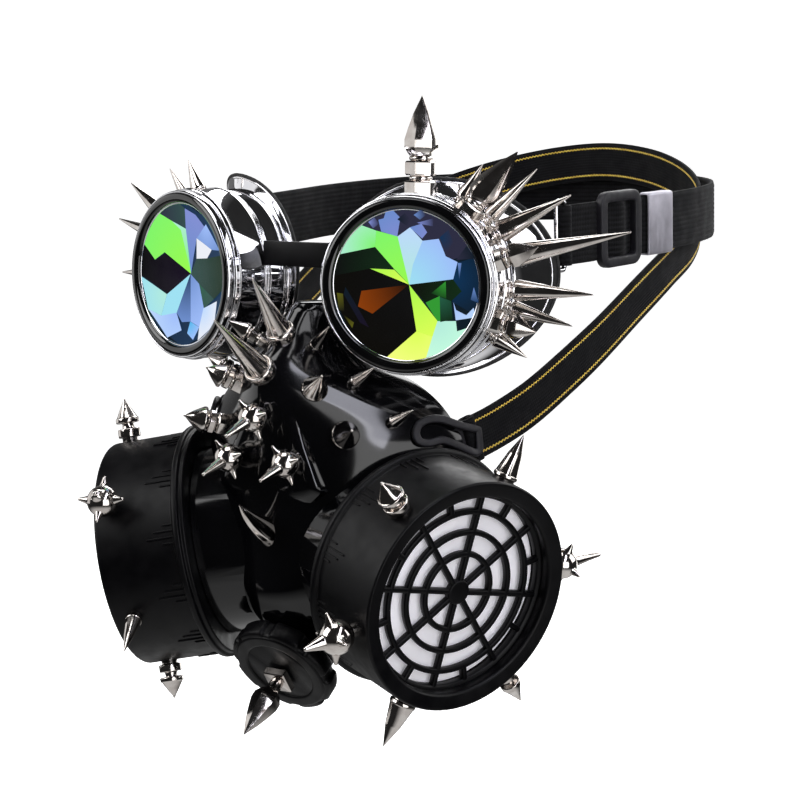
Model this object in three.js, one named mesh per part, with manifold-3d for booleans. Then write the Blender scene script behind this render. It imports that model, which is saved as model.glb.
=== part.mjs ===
// Studded goggles and half-face respirator, worn together on two head straps.
// Millimetres, +Z up. The face looks along -Y and +X is the wearer's left.
// The origin is at the wearer's nose bridge, between the two eye cups.
import * as THREE from 'three';
import { mergeVertices } from 'three/addons/utils/BufferGeometryUtils.js';
import Module from 'manifold-3d';

const wasm = await Module();
wasm.setup();

// Driving dimensions
const GAP = 0.3;
const GOGGLE = {
  centreX: 47.3, frontY: -34, splay: 16.4,
  bezelRadius: 29, lensRadius: 24.7, bandRadius: 30.3, boreRadius: 25, seatRadius: 26.4,
  bezelDepth: 3, seatDepth: 6.2, bandDepth: 16, grooveEnd: 18.9, barrelDepth: 26,
  sides: 22, spikeSides: 5,
};
const LENS = {
  sides: 16, edge: 2.2, rimDepth: 2.9, kiteRadius: 14, kiteDepth: 5, apexDepth: 6.6, pull: 0.82,
};
const CUP = {
  wall: 1.8, noseDepth: 28, templeCurve: 0.0144, curveStart: -5,
  centreAcross: 3.5, halfWidth: 36.5, centreUp: 1.5, halfHeight: 34.5, sides: 20,
};
const CANISTER = {
  front: [70.7, -30.1, -102.6], splay: 68.4, droop: 11.2,
  radius: 40.4, flangeRadius: 42.3, boreRadius: 36, depth: 33.3, rearHole: 30,
  grilleDepth: 5.2, grilleThick: 2.6, filterThick: 2.4, sides: 24,
};
const GRILLE = {
  hub: 4.3, rings: [13.4, 21, 28.3, 33.2], bar: 2.3, spokes: 8, outerSpokes: 16, turn: -8.5,
};
const SHELL = {
  wall: 2.5, portRadius: 34, portBore: 29, portLength: 24, portSides: 14, arc: 12,
  panelBack: -37, panelThick: 12,
};
const VALVE = {
  centre: [0, -32, -133.4], lean: 36, neckRadius: 13, neckBore: 10, neckLength: 16, neckSides: 12,
  capRadius: 20, capThick: 7, lobes: 8, notch: 2, spikeRadius: 5, spikeLength: 24,
};
const GOGGLE_STRAP = {
  width: 21, thick: 2, level: 12.84, slope: 0.0567, steps: 28, sliderAt: 31.4, clipAt: 57,
};
const SLEEVE = { radius: 2.8, bore: 1.9, sides: 10 };
const SLIDER = { length: 26, spare: 6, thick: 6, window: 7.5, windowAt: 5.25 };
const CLIP = { length: 16, spare: 2, wall: 0.9 };
const LOOP = { length: 6, height: 26, thick: 1.8, windowHalf: 1, windowHeight: 22.4, lean: 0.2 };
const MASK_STRAP = {
  width: 16, thick: 1.6, steps: 30, foldLength: 6, foldThick: 4.4, barLength: 3.8, barThick: 2.6,
};
const LUG = {
  length: 13, spare: 6, thick: 2, windowHalf: 3.4, back: 5.2, tab: [4, 12, 7], tabBack: 9.7, tabIn: 2.5,
};
const BRIDGE = { length: 28.2, height: 8.6, thick: 2, bow: 1.6, at: [0, -28.4, 4.2] };
const CLAW = { tall: 5.6, wide: 4, rows: 5, sides: 8, taper: 0.8 };

const METAL = { chrome: [0xd8d8da, 0.08, 1], nickel: [0xb9b2aa, 0.18, 1], steel: [0xa9a9ac, 0.4, 1] };
const SOFT = {
  gloss: [0x0b0b0d, 0.18, 0], satin: [0x17171a, 0.45, 0], elastic: [0x141418, 0.85, 0],
  filter: [0xeeeef4, 0.9, 0], plastic: [0x1c1c20, 0.5, 0], glass: [0x4fae9a, 0.05, 0.3],
};
const FINISH = { ...METAL, ...SOFT };

const radians = THREE.MathUtils.degToRad;
const vec = (x, y, z) => new THREE.Vector3(x, y, z);
const UP = vec(0, 0, 1);
const SIDES = [['left', 1], ['right', -1]];

// Geometry helpers

// Shared vertices merged, flat triangles dropped and faces turned outwards.
function closed(geometry) {
  const bare = geometry.clone();
  bare.deleteAttribute('normal');
  bare.deleteAttribute('uv');
  const merged = mergeVertices(bare, 1e-3);
  const source = merged.index.array;
  const index = [];
  for (let i = 0; i < source.length; i += 3) {
    const [a, b, c] = [source[i], source[i + 1], source[i + 2]];
    if (a !== b && b !== c && c !== a) {
      index.push(a, b, c);
    }
  }
  merged.setIndex(index);
  if (volumeOf(merged) < 0) {
    merged.setIndex(index.reverse());
  }
  return merged;
}

function volumeOf(geometry) {
  const place = geometry.attributes.position;
  const index = geometry.index.array;
  let sum = 0;
  for (let i = 0; i < index.length; i += 3) {
    const [a, b, c] = [0, 1, 2].map((k) => new THREE.Vector3().fromBufferAttribute(place, index[i + k]));
    sum += a.dot(b.cross(c)) / 6;
  }
  return sum;
}

function solid(geometry, matrix = new THREE.Matrix4()) {
  const mesh = closed(geometry).applyMatrix4(matrix);
  return new wasm.Manifold(new wasm.Mesh({
    numProp: 3,
    vertProperties: new Float32Array(mesh.attributes.position.array),
    triVerts: new Uint32Array(mesh.index.array),
  }));
}

function fromSolid(body) {
  const mesh = body.getMesh();
  const geometry = new THREE.BufferGeometry();
  geometry.setAttribute('position', new THREE.BufferAttribute(mesh.vertProperties, 3));
  geometry.setIndex(new THREE.BufferAttribute(mesh.triVerts, 1));
  return geometry;
}

const joined = (bodies) => bodies.reduce((sum, body) => sum.add(body));

// The largest of the separate pieces that a cut leaves.
const largest = (body) => body.decompose().sort((a, b) => b.volume() - a.volume())[0];

// Turned form about +Z from [radius, height] pairs.
function turned(profile, sides) {
  const points = profile.map(([radius, height]) => new THREE.Vector2(radius, height));
  return new THREE.LatheGeometry(points, sides).rotateX(Math.PI / 2);
}

// A turned ring: the profile returns to its first point.
const turnedRing = (profile, sides) => turned([...profile, profile[0]], sides);

// Solid through a row of closed outlines with the same number of points.
function loft(outlines) {
  const count = outlines[0].length;
  const points = outlines.flat();
  const index = [];
  for (let row = 0; row + 1 < outlines.length; row += 1) {
    for (let i = 0; i < count; i += 1) {
      const next = (i + 1) % count;
      const [a, b] = [row * count + i, row * count + next];
      index.push(a, b, b + count, a, b + count, a + count);
    }
  }
  const last = (outlines.length - 1) * count;
  for (let i = 1; i + 1 < count; i += 1) {
    index.push(0, i + 1, i, last, last + i, last + i + 1);
  }
  return new THREE.BufferGeometry().setFromPoints(points).setIndex(index);
}

// Wall swept round a loop: each outline is a ring, and the last ring joins the first.
function ringLoft(outlines) {
  const count = outlines[0].length;
  const index = [];
  outlines.forEach((_, row) => {
    const following = ((row + 1) % outlines.length) * count;
    for (let i = 0; i < count; i += 1) {
      const next = (i + 1) % count;
      index.push(row * count + i, row * count + next, following + next);
      index.push(row * count + i, following + next, following + i);
    }
  });
  return new THREE.BufferGeometry().setFromPoints(outlines.flat()).setIndex(index);
}

// Group whose local +Z lies along an axis, local X level.
function aimed(position, axis) {
  const z = axis.clone().normalize();
  const x = new THREE.Vector3().crossVectors(UP, z).normalize();
  const y = new THREE.Vector3().crossVectors(z, x);
  const group = new THREE.Group();
  group.quaternion.setFromRotationMatrix(new THREE.Matrix4().makeBasis(x, y, z));
  group.position.copy(position);
  group.updateMatrix();
  return group;
}

// Matrix that stands a form on a point, its local +Z along a direction.
function standing(point, direction) {
  const turn = new THREE.Quaternion().setFromUnitVectors(UP, direction.clone().normalize());
  return new THREE.Matrix4().compose(point, turn, vec(1, 1, 1));
}

function named(name, geometry, finish) {
  const [color, roughness, metalness] = FINISH[finish];
  const mesh = new THREE.Mesh(geometry, new THREE.MeshStandardMaterial({ color, roughness, metalness }));
  mesh.name = name;
  return mesh;
}

// Studs, each along local +Z with its seat at zero; sunk is how far the foot reaches below the seat.

function coneStud({ radius, length, sunk = 0, sides = 8 }) {
  const foot = radius * 0.45;
  return turned([[0, -sunk], [radius, -sunk], [radius, foot], [0, length]], sides);
}

// Hexagonal bullet on one or two nuts, with a narrow neck above each nut.
function bulletStud({ radius, length, sunk = 0, nuts = 1 }) {
  const nut = { radius: radius * 0.96, height: radius * 0.72, gap: 0.8 };
  const neck = radius * 0.62;
  const profile = [[0, -sunk]];
  let height = -sunk;
  for (let i = 0; i < nuts; i += 1) {
    const top = (i + 1) * nut.height + i * nut.gap;
    profile.push([nut.radius, height], [nut.radius, top], [neck, top + nut.gap / 2]);
    height = top + nut.gap;
  }
  profile.push([radius, height + nut.gap], [radius, height + radius * 0.6], [0, length]);
  return turned(profile, 6);
}

// Ball on a stem with one long blunt arm straight out and four short pointed arms round it.
function ballStud({ radius, length, sunk = 0 }) {
  const arms = 4;
  const lift = 0.22;
  const centre = radius + 1.2;
  const body = solid(new THREE.SphereGeometry(radius, 8, 4).rotateX(Math.PI / 2).translate(0, 0, centre));
  const stem = solid(turned([[0, -sunk], [radius * 0.42, -sunk], [radius * 0.42, centre], [0, centre]], 4));
  const rod = [[0, 0], [radius * 0.44, 0], [radius * 0.2, length - centre - 0.6], [0, length - centre]];
  const long = solid(turned(rod, 5).translate(0, 0, centre));
  const short = turned([[0, 0], [radius * 0.4, 0], [0, radius * 1.95]], 4);
  const around = Array.from({ length: arms }, (_, i) => {
    const angle = ((i + 0.25) / arms) * 2 * Math.PI;
    const direction = vec(Math.cos(angle), Math.sin(angle), lift);
    return solid(short, standing(vec(0, 0, centre), direction));
  });
  return fromSolid(joined([body, stem, long, ...around]));
}

const STUD = { cone: coneStud, bullet: bulletStud, ball: ballStud };

// Goggles

// One row a spike, on the temple side of the barrel. Angles are degrees from the temple towards the top,
// reach is how far the tip is from the barrel's axis, and a reach of zero leaves the spike out.
const SPIKE_COLUMNS = ['kind', 'nuts', 'depth', 'footAngle', 'tipAngle', 'radius', 'leftReach', 'rightReach'];
const SPIKES = [
  ['bullet', 2, 16, 88.5, 89, 5.4, 62.5, 0],
  ['cone', 0, 20, 63.7, 62, 2.9, 45.1, 45.1],
  ['bullet', 1, 10.5, 53, 51.4, 4.8, 56.6, 0],
  ['cone', 0, 23, 44, 44.6, 2.9, 54.7, 52],
  ['cone', 0, 17, 33, 30, 3.8, 60, 62],
  ['cone', 0, 21, 18, 14.2, 4, 73.7, 70],
  ['bullet', 1, 9, 16, 16.9, 4.2, 44.8, 0],
  ['cone', 0, 19, -3.5, -2.6, 3.6, 59.7, 63],
  ['cone', 0, 22, -15, -14.6, 3, 54, 54],
  ['bullet', 1, 10.5, -23.5, -19.5, 4.2, 45, 0],
  ['cone', 0, 19, -34.5, -33, 3.1, 44.7, 44.7],
];
const rowOf = (columns, row) => Object.fromEntries(columns.map((key, i) => [key, row[i]]));
const rowsOf = (columns, rows) => rows.map((row) => rowOf(columns, row));

function around(radius, degrees, depth, side) {
  const angle = radians(side > 0 ? degrees : 180 - degrees);
  return vec(radius * Math.cos(angle), radius * Math.sin(angle), -depth);
}

// Tube of the goggle: front band, groove, rear band, and a seat for the lens inside the mouth.
function barrelTube() {
  const { bandRadius, boreRadius, seatRadius, sides } = GOGGLE;
  const { bezelDepth, seatDepth, bandDepth, grooveEnd, barrelDepth } = GOGGLE;
  const front = bezelDepth + GAP;
  const groove = bandRadius - 1.7;
  const chamfer = 0.5;
  const profile = [
    [seatRadius, front], [bandRadius, front], [bandRadius, bandDepth], [groove, bandDepth + chamfer],
    [groove, grooveEnd - chamfer], [bandRadius - 0.8, grooveEnd], [bandRadius - 1.1, barrelDepth],
    [boreRadius, barrelDepth], [boreRadius, seatDepth], [seatRadius, seatDepth],
  ].map(([radius, depth]) => [radius, -depth]);
  return solid(turnedRing(profile, sides));
}

// One spike of the table, its foot sunk into the wall of the tube.
function spike(row, side) {
  const { bandRadius, boreRadius, spikeSides } = GOGGLE;
  const footRadius = boreRadius + 1.5;
  const sunk = bandRadius - 1 - footRadius;
  const reach = side > 0 ? row.leftReach : row.rightReach;
  const foot = around(footRadius, row.footAngle, row.depth, side);
  const direction = around(reach, row.tipAngle, row.depth, side).sub(foot);
  const seat = foot.clone().addScaledVector(direction.clone().normalize(), sunk);
  const length = direction.length() - sunk;
  const form = { radius: row.radius, length, sunk, nuts: row.nuts, sides: spikeSides };
  return solid(STUD[row.kind](form), standing(seat, direction));
}

function barrel(side) {
  const rows = rowsOf(SPIKE_COLUMNS, SPIKES).filter((row) => side > 0 || row.rightReach);
  return fromSolid(joined([barrelTube(), ...rows.map((row) => spike(row, side))]));
}

function bezel() {
  const { bezelRadius, lensRadius, bezelDepth, sides } = GOGGLE;
  const profile = [
    [lensRadius, 1.8], [bezelRadius - 2, 0], [bezelRadius - 0.2, 0], [bezelRadius + 0.5, 0.9],
    [bezelRadius + 0.5, bezelDepth], [lensRadius, bezelDepth],
  ].map(([radius, depth]) => [radius, -depth]);
  return closed(turnedRing(profile, sides));
}

// Flat front, sixteen rim facets, eight kite facets and an apex on the back.
function lens() {
  const { boreRadius, bezelDepth } = GOGGLE;
  const { sides, edge, rimDepth, kiteRadius, kiteDepth, apexDepth, pull } = LENS;
  const rim = boreRadius + 1;
  const ring = (radius, depth) => Array.from({ length: sides }, (_, i) => {
    const angle = (i / sides) * 2 * Math.PI;
    const reach = i % 2 && radius < rim ? radius * pull : radius;
    return vec(reach * Math.cos(angle), reach * Math.sin(angle), -bezelDepth - GAP - depth);
  });
  const tip = 0.6;
  const outlines = [
    ring(rim, 0), ring(rim, edge), ring(boreRadius - 0.8, rimDepth), ring(kiteRadius, kiteDepth),
    ring(tip, apexDepth),
  ];
  return closed(loft(outlines));
}

// Rear rim of the cup: an oval that runs back along the temple.
function rimPoint(angle, side, inset) {
  const { centreAcross, halfWidth, centreUp, halfHeight, noseDepth, templeCurve, curveStart } = CUP;
  const across = centreAcross + (halfWidth - inset) * Math.cos(angle);
  const depth = noseDepth + templeCurve * Math.max(0, across - curveStart) ** 2;
  return vec(side * across, centreUp + (halfHeight - inset) * Math.sin(angle), -depth);
}

function cup(side) {
  const { bandRadius, barrelDepth } = GOGGLE;
  const { wall, sides } = CUP;
  const throat = bandRadius - 1.2;
  const start = barrelDepth + GAP;
  const ring = (blend, inset) => Array.from({ length: sides }, (_, i) => {
    const angle = (i / sides) * 2 * Math.PI;
    const round = throat - inset;
    const near = vec(side * round * Math.cos(angle), round * Math.sin(angle), -start);
    const far = rimPoint(angle, side, inset);
    const flare = blend ** 1.6;
    return vec(
      THREE.MathUtils.lerp(near.x, far.x, flare),
      THREE.MathUtils.lerp(near.y, far.y, flare),
      THREE.MathUtils.lerp(near.z, far.z, blend),
    );
  });
  const blends = [0, 0.55, 1];
  const outside = blends.map((blend) => ring(blend, 0));
  const inside = blends.map((blend) => ring(blend, wall)).reverse();
  return closed(ringLoft([...outside, ...inside]));
}

function goggleAxis(side) {
  const angle = radians(GOGGLE.splay);
  return vec(side * Math.sin(angle), -Math.cos(angle), 0);
}

function goggle(name, side) {
  const group = aimed(vec(side * GOGGLE.centreX, GOGGLE.frontY, 0), goggleAxis(side));
  group.add(named(`goggle_barrel_${name}`, barrel(side), 'chrome'));
  group.add(named(`goggle_bezel_${name}`, bezel(), 'chrome'));
  group.add(named(`goggle_lens_${name}`, lens(), 'glass'));
  group.add(named(`goggle_cup_${name}`, cup(side), 'chrome'));
  return group;
}

// Strip between the barrels, bowed forwards in plan.
function bridge() {
  const { length, height, thick, bow, at } = BRIDGE;
  const shape = new THREE.Shape();
  shape.moveTo(-length / 2, 0);
  shape.quadraticCurveTo(0, -bow, length / 2, 0);
  shape.lineTo(length / 2, thick);
  shape.quadraticCurveTo(0, thick - bow, -length / 2, thick);
  const strip = new THREE.ExtrudeGeometry(shape, { depth: height, bevelEnabled: false, curveSegments: 6 });
  const mesh = named('goggle_bridge', closed(strip), 'plastic');
  mesh.position.set(...at);
  return mesh;
}

// Straps

// Plan of the goggles' elastic, from the left temple to the middle of the back.
const ELASTIC_PLAN = [
  [68.8, 36.2], [72.4, 55], [75.4, 80], [78.2, 105], [77, 130], [72, 152], [61, 173], [44, 190], [22, 201],
];
const ELASTIC_BACK = [0, 205];

function elasticCurve() {
  const half = ELASTIC_PLAN.map(([x, y]) => vec(x, y, 0));
  const other = half.map((p) => vec(-p.x, p.y, 0)).reverse();
  return new THREE.CatmullRomCurve3([...half, vec(...ELASTIC_BACK, 0), ...other], false, 'centripetal');
}

function elasticBand() {
  const { width, thick, steps } = GOGGLE_STRAP;
  const curve = elasticCurve();
  const outer = [];
  const inner = [];
  for (let i = 0; i <= steps; i += 1) {
    const point = curve.getPointAt(i / steps);
    const along = curve.getTangentAt(i / steps);
    const out = vec(along.y, -along.x, 0).multiplyScalar(thick / 2);
    outer.push(new THREE.Vector2(point.x + out.x, point.y + out.y));
    inner.push(new THREE.Vector2(point.x - out.x, point.y - out.y));
  }
  const shape = new THREE.Shape([...outer, ...inner.reverse()]);
  const band = new THREE.ExtrudeGeometry(shape, { depth: width, bevelEnabled: false });
  band.translate(0, 0, -width / 2);
  const tube = (radius, length) => new THREE.CylinderGeometry(radius, radius, length, SLEEVE.sides);
  const sleeve = tube(SLEEVE.radius, width).rotateX(Math.PI / 2);
  const bore = tube(SLEEVE.bore, width + 2).rotateX(Math.PI / 2);
  const start = ELASTIC_PLAN[0];
  const ends = [1, -1].map((side) => new THREE.Matrix4().makeTranslation(side * start[0], start[1], 0));
  let body = solid(band);
  ends.forEach((end) => {
    body = body.add(solid(sleeve, end)).subtract(solid(bore, end));
  });
  return fromSolid(body);
}

// Flat rectangular frame with rounded corners and windows, lying in local XZ and centred.
function frame(length, height, thick, windows) {
  const round = 2;
  const corners = [[1, -1], [1, 1], [-1, 1], [-1, -1]];
  const outline = corners.flatMap(([across, up], corner) => [0, 1].map((step) => {
    const angle = (corner - 1 + step) * (Math.PI / 2);
    return new THREE.Vector2(
      across * (length / 2 - round) + round * Math.cos(angle),
      up * (height / 2 - round) + round * Math.sin(angle),
    );
  }));
  const shape = new THREE.Shape(outline);
  windows.forEach(([from, to, tall]) => {
    const corner = [[from, -tall], [from, tall], [to, tall], [to, -tall]];
    shape.holes.push(new THREE.Path(corner.map(([u, v]) => new THREE.Vector2(u, v / 2))));
  });
  const settings = { depth: thick, bevelEnabled: false };
  return new THREE.ExtrudeGeometry(shape, settings).translate(0, 0, -thick / 2).rotateX(Math.PI / 2);
}

// Piece on the elastic, a distance along it: local X runs along it, local Z is its width.
function onElastic(mesh, distance) {
  const curve = elasticCurve();
  const share = distance / curve.getLength();
  const along = curve.getTangentAt(share);
  mesh.position.copy(curve.getPointAt(share));
  mesh.rotation.z = Math.atan2(along.y, along.x);
  return mesh;
}

// Slot for the elastic through a piece on it, with a little room all round.
const elasticSlot = (room, side) => {
  const { width, thick } = GOGGLE_STRAP;
  const through = 40;
  return solid(new THREE.BoxGeometry(through, thick + room, width + side));
};

function slider() {
  const { length, spare, thick, window, windowAt } = SLIDER;
  const { width } = GOGGLE_STRAP;
  const opening = new THREE.BoxGeometry(window, 3 * thick, width - 3);
  const windows = [-1, 1].map((end) => {
    const place = new THREE.Matrix4().makeTranslation(windowAt * end, 0, 0);
    return solid(opening, place);
  });
  const plate = solid(frame(length, width + spare, thick, []));
  const cuts = joined([elasticSlot(1.4, 1), ...windows]);
  return named('strap_slider', fromSolid(plate.subtract(cuts)), 'plastic');
}

function clip() {
  const { length, spare, wall } = CLIP;
  const { width, thick } = GOGGLE_STRAP;
  const body = solid(new THREE.BoxGeometry(length, thick + 1 + 2 * wall, width + spare));
  return named('strap_clip', fromSolid(body.subtract(elasticSlot(1, spare - 1.4))), 'steel');
}

function goggleStrap() {
  const group = new THREE.Group();
  group.position.z = GOGGLE_STRAP.level;
  group.rotation.x = Math.atan(GOGGLE_STRAP.slope);
  group.add(named('goggle_strap', elasticBand(), 'elastic'));
  group.add(onElastic(slider(), GOGGLE_STRAP.sliderAt), onElastic(clip(), GOGGLE_STRAP.clipAt));
  const { length, height, thick, windowHalf, windowHeight, lean } = LOOP;
  const ring = closed(frame(length, height, thick, [[-windowHalf, windowHalf, windowHeight]]));
  const barFromMiddle = (length / 2 + windowHalf) / 2;
  SIDES.forEach(([name, side]) => {
    const loop = named(`strap_loop_${name}`, ring, 'chrome');
    const [x, y] = ELASTIC_PLAN[0];
    loop.position.set(side * (x - barFromMiddle * lean), y - barFromMiddle, 0);
    loop.rotation.z = Math.atan2(1, side * lean);
    group.add(loop);
  });
  return group;
}

// Respirator strap: hand-set route from the left lug to the middle of the back, and its mirror image.
const STRAP_ROUTE = [
  [52.4, 1.8, -54.5], [56.3, 11.5, -50.8], [61.8, 25, -44.1], [67, 43, -33.7],
  [70.8, 60, -23.8], [73.4, 86, -10], [74.2, 110, 1], [72.6, 132, 9],
  [67.6, 150, 16.5], [57, 170, 25], [41, 186, 32], [21, 197, 37],
];
const STRAP_BACK = [0, 200.6, 39];

function strapCurve() {
  const half = STRAP_ROUTE.map((p) => vec(...p));
  const other = half.map((p) => vec(-p.x, p.y, p.z)).reverse();
  return new THREE.CatmullRomCurve3([...half, vec(...STRAP_BACK), ...other], false, 'centripetal');
}

// Frame of the strap at a share of its length: direction, outward and across its width.
function strapFrame(share) {
  const curve = strapCurve();
  const point = curve.getPointAt(share);
  const along = curve.getTangentAt(share);
  const out = vec(along.y, -along.x, 0).normalize();
  const across = new THREE.Vector3().crossVectors(out, along).normalize();
  const square = new THREE.Vector3().crossVectors(along, across).normalize();
  return { point, along, out: square, across };
}

function strapSection({ point, out, across }, width, thick) {
  return [[1, 1], [1, -1], [-1, -1], [-1, 1]].map(([u, v]) => point.clone()
    .addScaledVector(across, (u * width) / 2)
    .addScaledVector(out, (v * thick) / 2));
}

// Box in the strap's frame: sizes along it, across its width and outwards, moved along and outwards.
function strapBox(share, [length, width, thick], shift = 0, lift = 0) {
  const at = strapFrame(share);
  const matrix = new THREE.Matrix4().makeBasis(at.along, at.across, at.out);
  matrix.setPosition(at.point.clone().addScaledVector(at.along, shift).addScaledVector(at.out, lift));
  return solid(new THREE.BoxGeometry(length, width, thick), matrix);
}

function respiratorStrap() {
  const { width, thick, steps, foldLength, foldThick, barLength, barThick } = MASK_STRAP;
  const shares = Array.from({ length: steps + 1 }, (_, i) => i / steps);
  let body = solid(loft(shares.map((share) => strapSection(strapFrame(share), width, thick))));
  [0, 1].forEach((end) => {
    const fold = strapBox(end, [foldLength, width, foldThick]);
    const bar = strapBox(end, [barLength, width + 8, barThick]);
    body = body.add(fold).subtract(bar);
  });
  return named('mask_strap', fromSolid(body), 'elastic');
}

// Slotted lug: the strap wraps its rear bar, and its front bar is moulded to a tab on the cheek.
function strapLug(name, side) {
  const { width } = MASK_STRAP;
  const { length, spare, thick, windowHalf, back, tab, tabBack, tabIn } = LUG;
  const end = side > 0 ? 0 : 1;
  const at = strapFrame(end);
  const along = at.along.clone().multiplyScalar(side);
  const matrix = new THREE.Matrix4().makeBasis(along, at.out.clone().multiplyScalar(-side), at.across);
  matrix.setPosition(at.point.clone().addScaledVector(along, -back));
  const ring = solid(frame(length, width + spare, thick, [[-windowHalf, windowHalf, width + 1]]), matrix);
  const keepOut = shellSolid(GAP);
  const foot = largest(strapBox(end, tab, -tabBack * side, -tabIn).subtract(keepOut));
  return named(`strap_lug_${name}`, fromSolid(ring.subtract(keepOut).add(foot)), 'gloss');
}

// Respirator

// One row a level of the shell: front and rim are Y at the middle and at the edge,
// and bend is how full the section is, two being an ellipse.
const LEVEL_COLUMNS = ['z', 'front', 'rim', 'halfWidth', 'bend'];
const LEVELS = rowsOf(LEVEL_COLUMNS, [
  [-8, -28, -13.8, 6.8, 1.9],
  [-20, -39.5, -10.5, 12.5, 1.7],
  [-28, -48.5, -8.5, 20, 1.55],
  [-36, -50, -6.5, 36, 1.4],
  [-51, -47.5, -4, 50.5, 1.4],
  [-75, -46.5, 2, 47, 1.9],
  [-95, -45, 8, 43, 2],
  [-110, -43.5, 13, 36, 2],
  [-121, -37, 15, 27, 2],
  [-128, -25, 14.5, 17, 2],
  [-131, -12, 13.5, 8, 2],
]);

// Level outline from rim to rim; grow moves it outwards, back carries its open side further to the rear.
function levelOutline(row, grow, back) {
  const width = row.halfWidth + grow;
  const depth = row.rim - row.front + grow;
  const points = Array.from({ length: SHELL.arc + 1 }, (_, i) => {
    const angle = (i / SHELL.arc - 0.5) * Math.PI;
    const sine = Math.sin(angle);
    const across = Math.sign(sine) * Math.abs(sine) ** (2 / row.bend);
    return vec(width * across, row.rim - depth * Math.cos(angle) ** (2 / row.bend), row.z);
  });
  const tail = back ? [vec(width, row.rim + back, row.z), vec(-width, row.rim + back, row.z)] : [];
  return [...points, ...tail];
}

// Loft of the levels, the end levels moved by the same growth.
function shellBody(grow, back) {
  const ends = [LEVELS[0].z, LEVELS.at(-1).z];
  const outlines = LEVELS.map((row) => {
    const lift = row.z === ends[0] ? grow : row.z === ends[1] ? -grow : 0;
    return levelOutline({ ...row, z: row.z + lift }, grow, back);
  });
  return solid(loft(outlines));
}

function canisterAxis(side) {
  const [splay, droop] = [radians(CANISTER.splay), radians(CANISTER.droop)];
  const level = Math.cos(droop);
  return vec(side * Math.sin(splay) * level, -Math.cos(splay) * level, -Math.sin(droop));
}

function canisterGroup(side) {
  const [x, y, z] = CANISTER.front;
  return aimed(vec(side * x, y, z), canisterAxis(side));
}

// Rod along a group's local -Z, from one depth to another.
function rod(group, radius, from, to, sides) {
  const profile = [[0, -to], [radius, -to], [radius, -from], [0, -from]];
  return solid(turned(profile, sides), group.matrix);
}

function valveGroup() {
  const lean = radians(VALVE.lean);
  return aimed(vec(...VALVE.centre), vec(0, -Math.cos(lean), -Math.sin(lean)));
}

// Raised panel on the front of the snout, wider towards its lower edge.
function frontPanel(grow) {
  const outline = [[5.5, -33.5], [9, -46], [14, -57], [19, -68.5], [15, -72]];
  const right = outline.map(([x, z]) => new THREE.Vector2(x + grow, z));
  const left = outline.map(([x, z]) => new THREE.Vector2(-x - grow, z)).reverse();
  const shape = new THREE.Shape([...right, ...left]);
  const plate = new THREE.ExtrudeGeometry(shape, { depth: SHELL.panelThick, bevelEnabled: false });
  return solid(plate.rotateX(Math.PI / 2).translate(0, SHELL.panelBack - grow, 0));
}

// Outside of the shell, filled, with its ports, valve neck and front panel.
function shellSolid(grow) {
  const { portRadius, portLength, portSides } = SHELL;
  const { neckRadius, neckLength, neckSides } = VALVE;
  const rear = CANISTER.depth + GAP;
  const ports = SIDES.map(([, side]) => {
    const group = canisterGroup(side);
    return rod(group, portRadius + grow, rear, rear + portLength, portSides);
  });
  const neck = rod(valveGroup(), neckRadius + grow, 0, neckLength, neckSides);
  return joined([shellBody(grow, 0), ...ports, neck, frontPanel(grow)]);
}

function shell() {
  const { wall, portBore, portLength, portSides } = SHELL;
  const { neckBore, neckLength, neckSides } = VALVE;
  const rear = CANISTER.depth;
  const faceRoom = 40;
  let body = shellSolid(0).subtract(shellBody(-wall, faceRoom));
  SIDES.forEach(([, side]) => {
    body = body.subtract(rod(canisterGroup(side), portBore, rear - 1, rear + portLength - 4, portSides));
  });
  body = body.subtract(rod(valveGroup(), neckBore, -1, neckLength - 1, neckSides));
  return named('mask_shell', fromSolid(largest(body)), 'gloss');
}

function housing() {
  const { radius, flangeRadius, boreRadius, depth, rearHole, sides } = CANISTER;
  const flange = 3.6;
  const floor = 3;
  const profile = [
    [boreRadius, 3], [radius - 1.6, 0], [radius, 0.9], [radius, depth - flange - 0.6],
    [flangeRadius, depth - flange], [flangeRadius, depth], [rearHole, depth], [rearHole, depth - floor],
    [boreRadius, depth - floor],
  ].map(([r, d]) => [r, -d]);
  return closed(turnedRing(profile, sides));
}

// Grille disc pierced between rings and spokes.
function grille() {
  const { hub, rings, bar, spokes, outerSpokes } = GRILLE;
  const shape = new THREE.Shape();
  shape.absarc(0, 0, CANISTER.boreRadius - GAP, 0, 2 * Math.PI);
  const inner = [hub, ...rings.slice(0, -1).map((r) => r + bar / 2)];
  const outer = [...rings.slice(0, -1).map((r) => r - bar / 2), rings.at(-1)];
  inner.forEach((from, ring) => {
    const to = outer[ring];
    const last = ring === inner.length - 1;
    const count = last ? outerSpokes : spokes;
    const steps = last || ring === 0 ? 1 : 2;
    for (let i = 0; i < count; i += 1) {
      const arc = (radius, back) => Array.from({ length: steps + 1 }, (_, k) => {
        const half = Math.PI / count - bar / 2 / radius;
        const share = back ? 1 - k / steps : k / steps;
        const angle = ((i + 0.5) / count) * 2 * Math.PI + (share * 2 - 1) * half;
        return new THREE.Vector2(radius * Math.cos(angle), radius * Math.sin(angle));
      });
      shape.holes.push(new THREE.Path([...arc(to, false), ...arc(from, true)]));
    }
  });
  const settings = { depth: CANISTER.grilleThick, bevelEnabled: false, curveSegments: 13 };
  return closed(new THREE.ExtrudeGeometry(shape, settings));
}

function filterDisc() {
  const { filterThick, boreRadius, sides } = CANISTER;
  const radius = boreRadius - GAP;
  return closed(turned([[0, -filterThick], [radius, -filterThick], [radius, 0], [0, 0]], sides));
}

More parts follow.
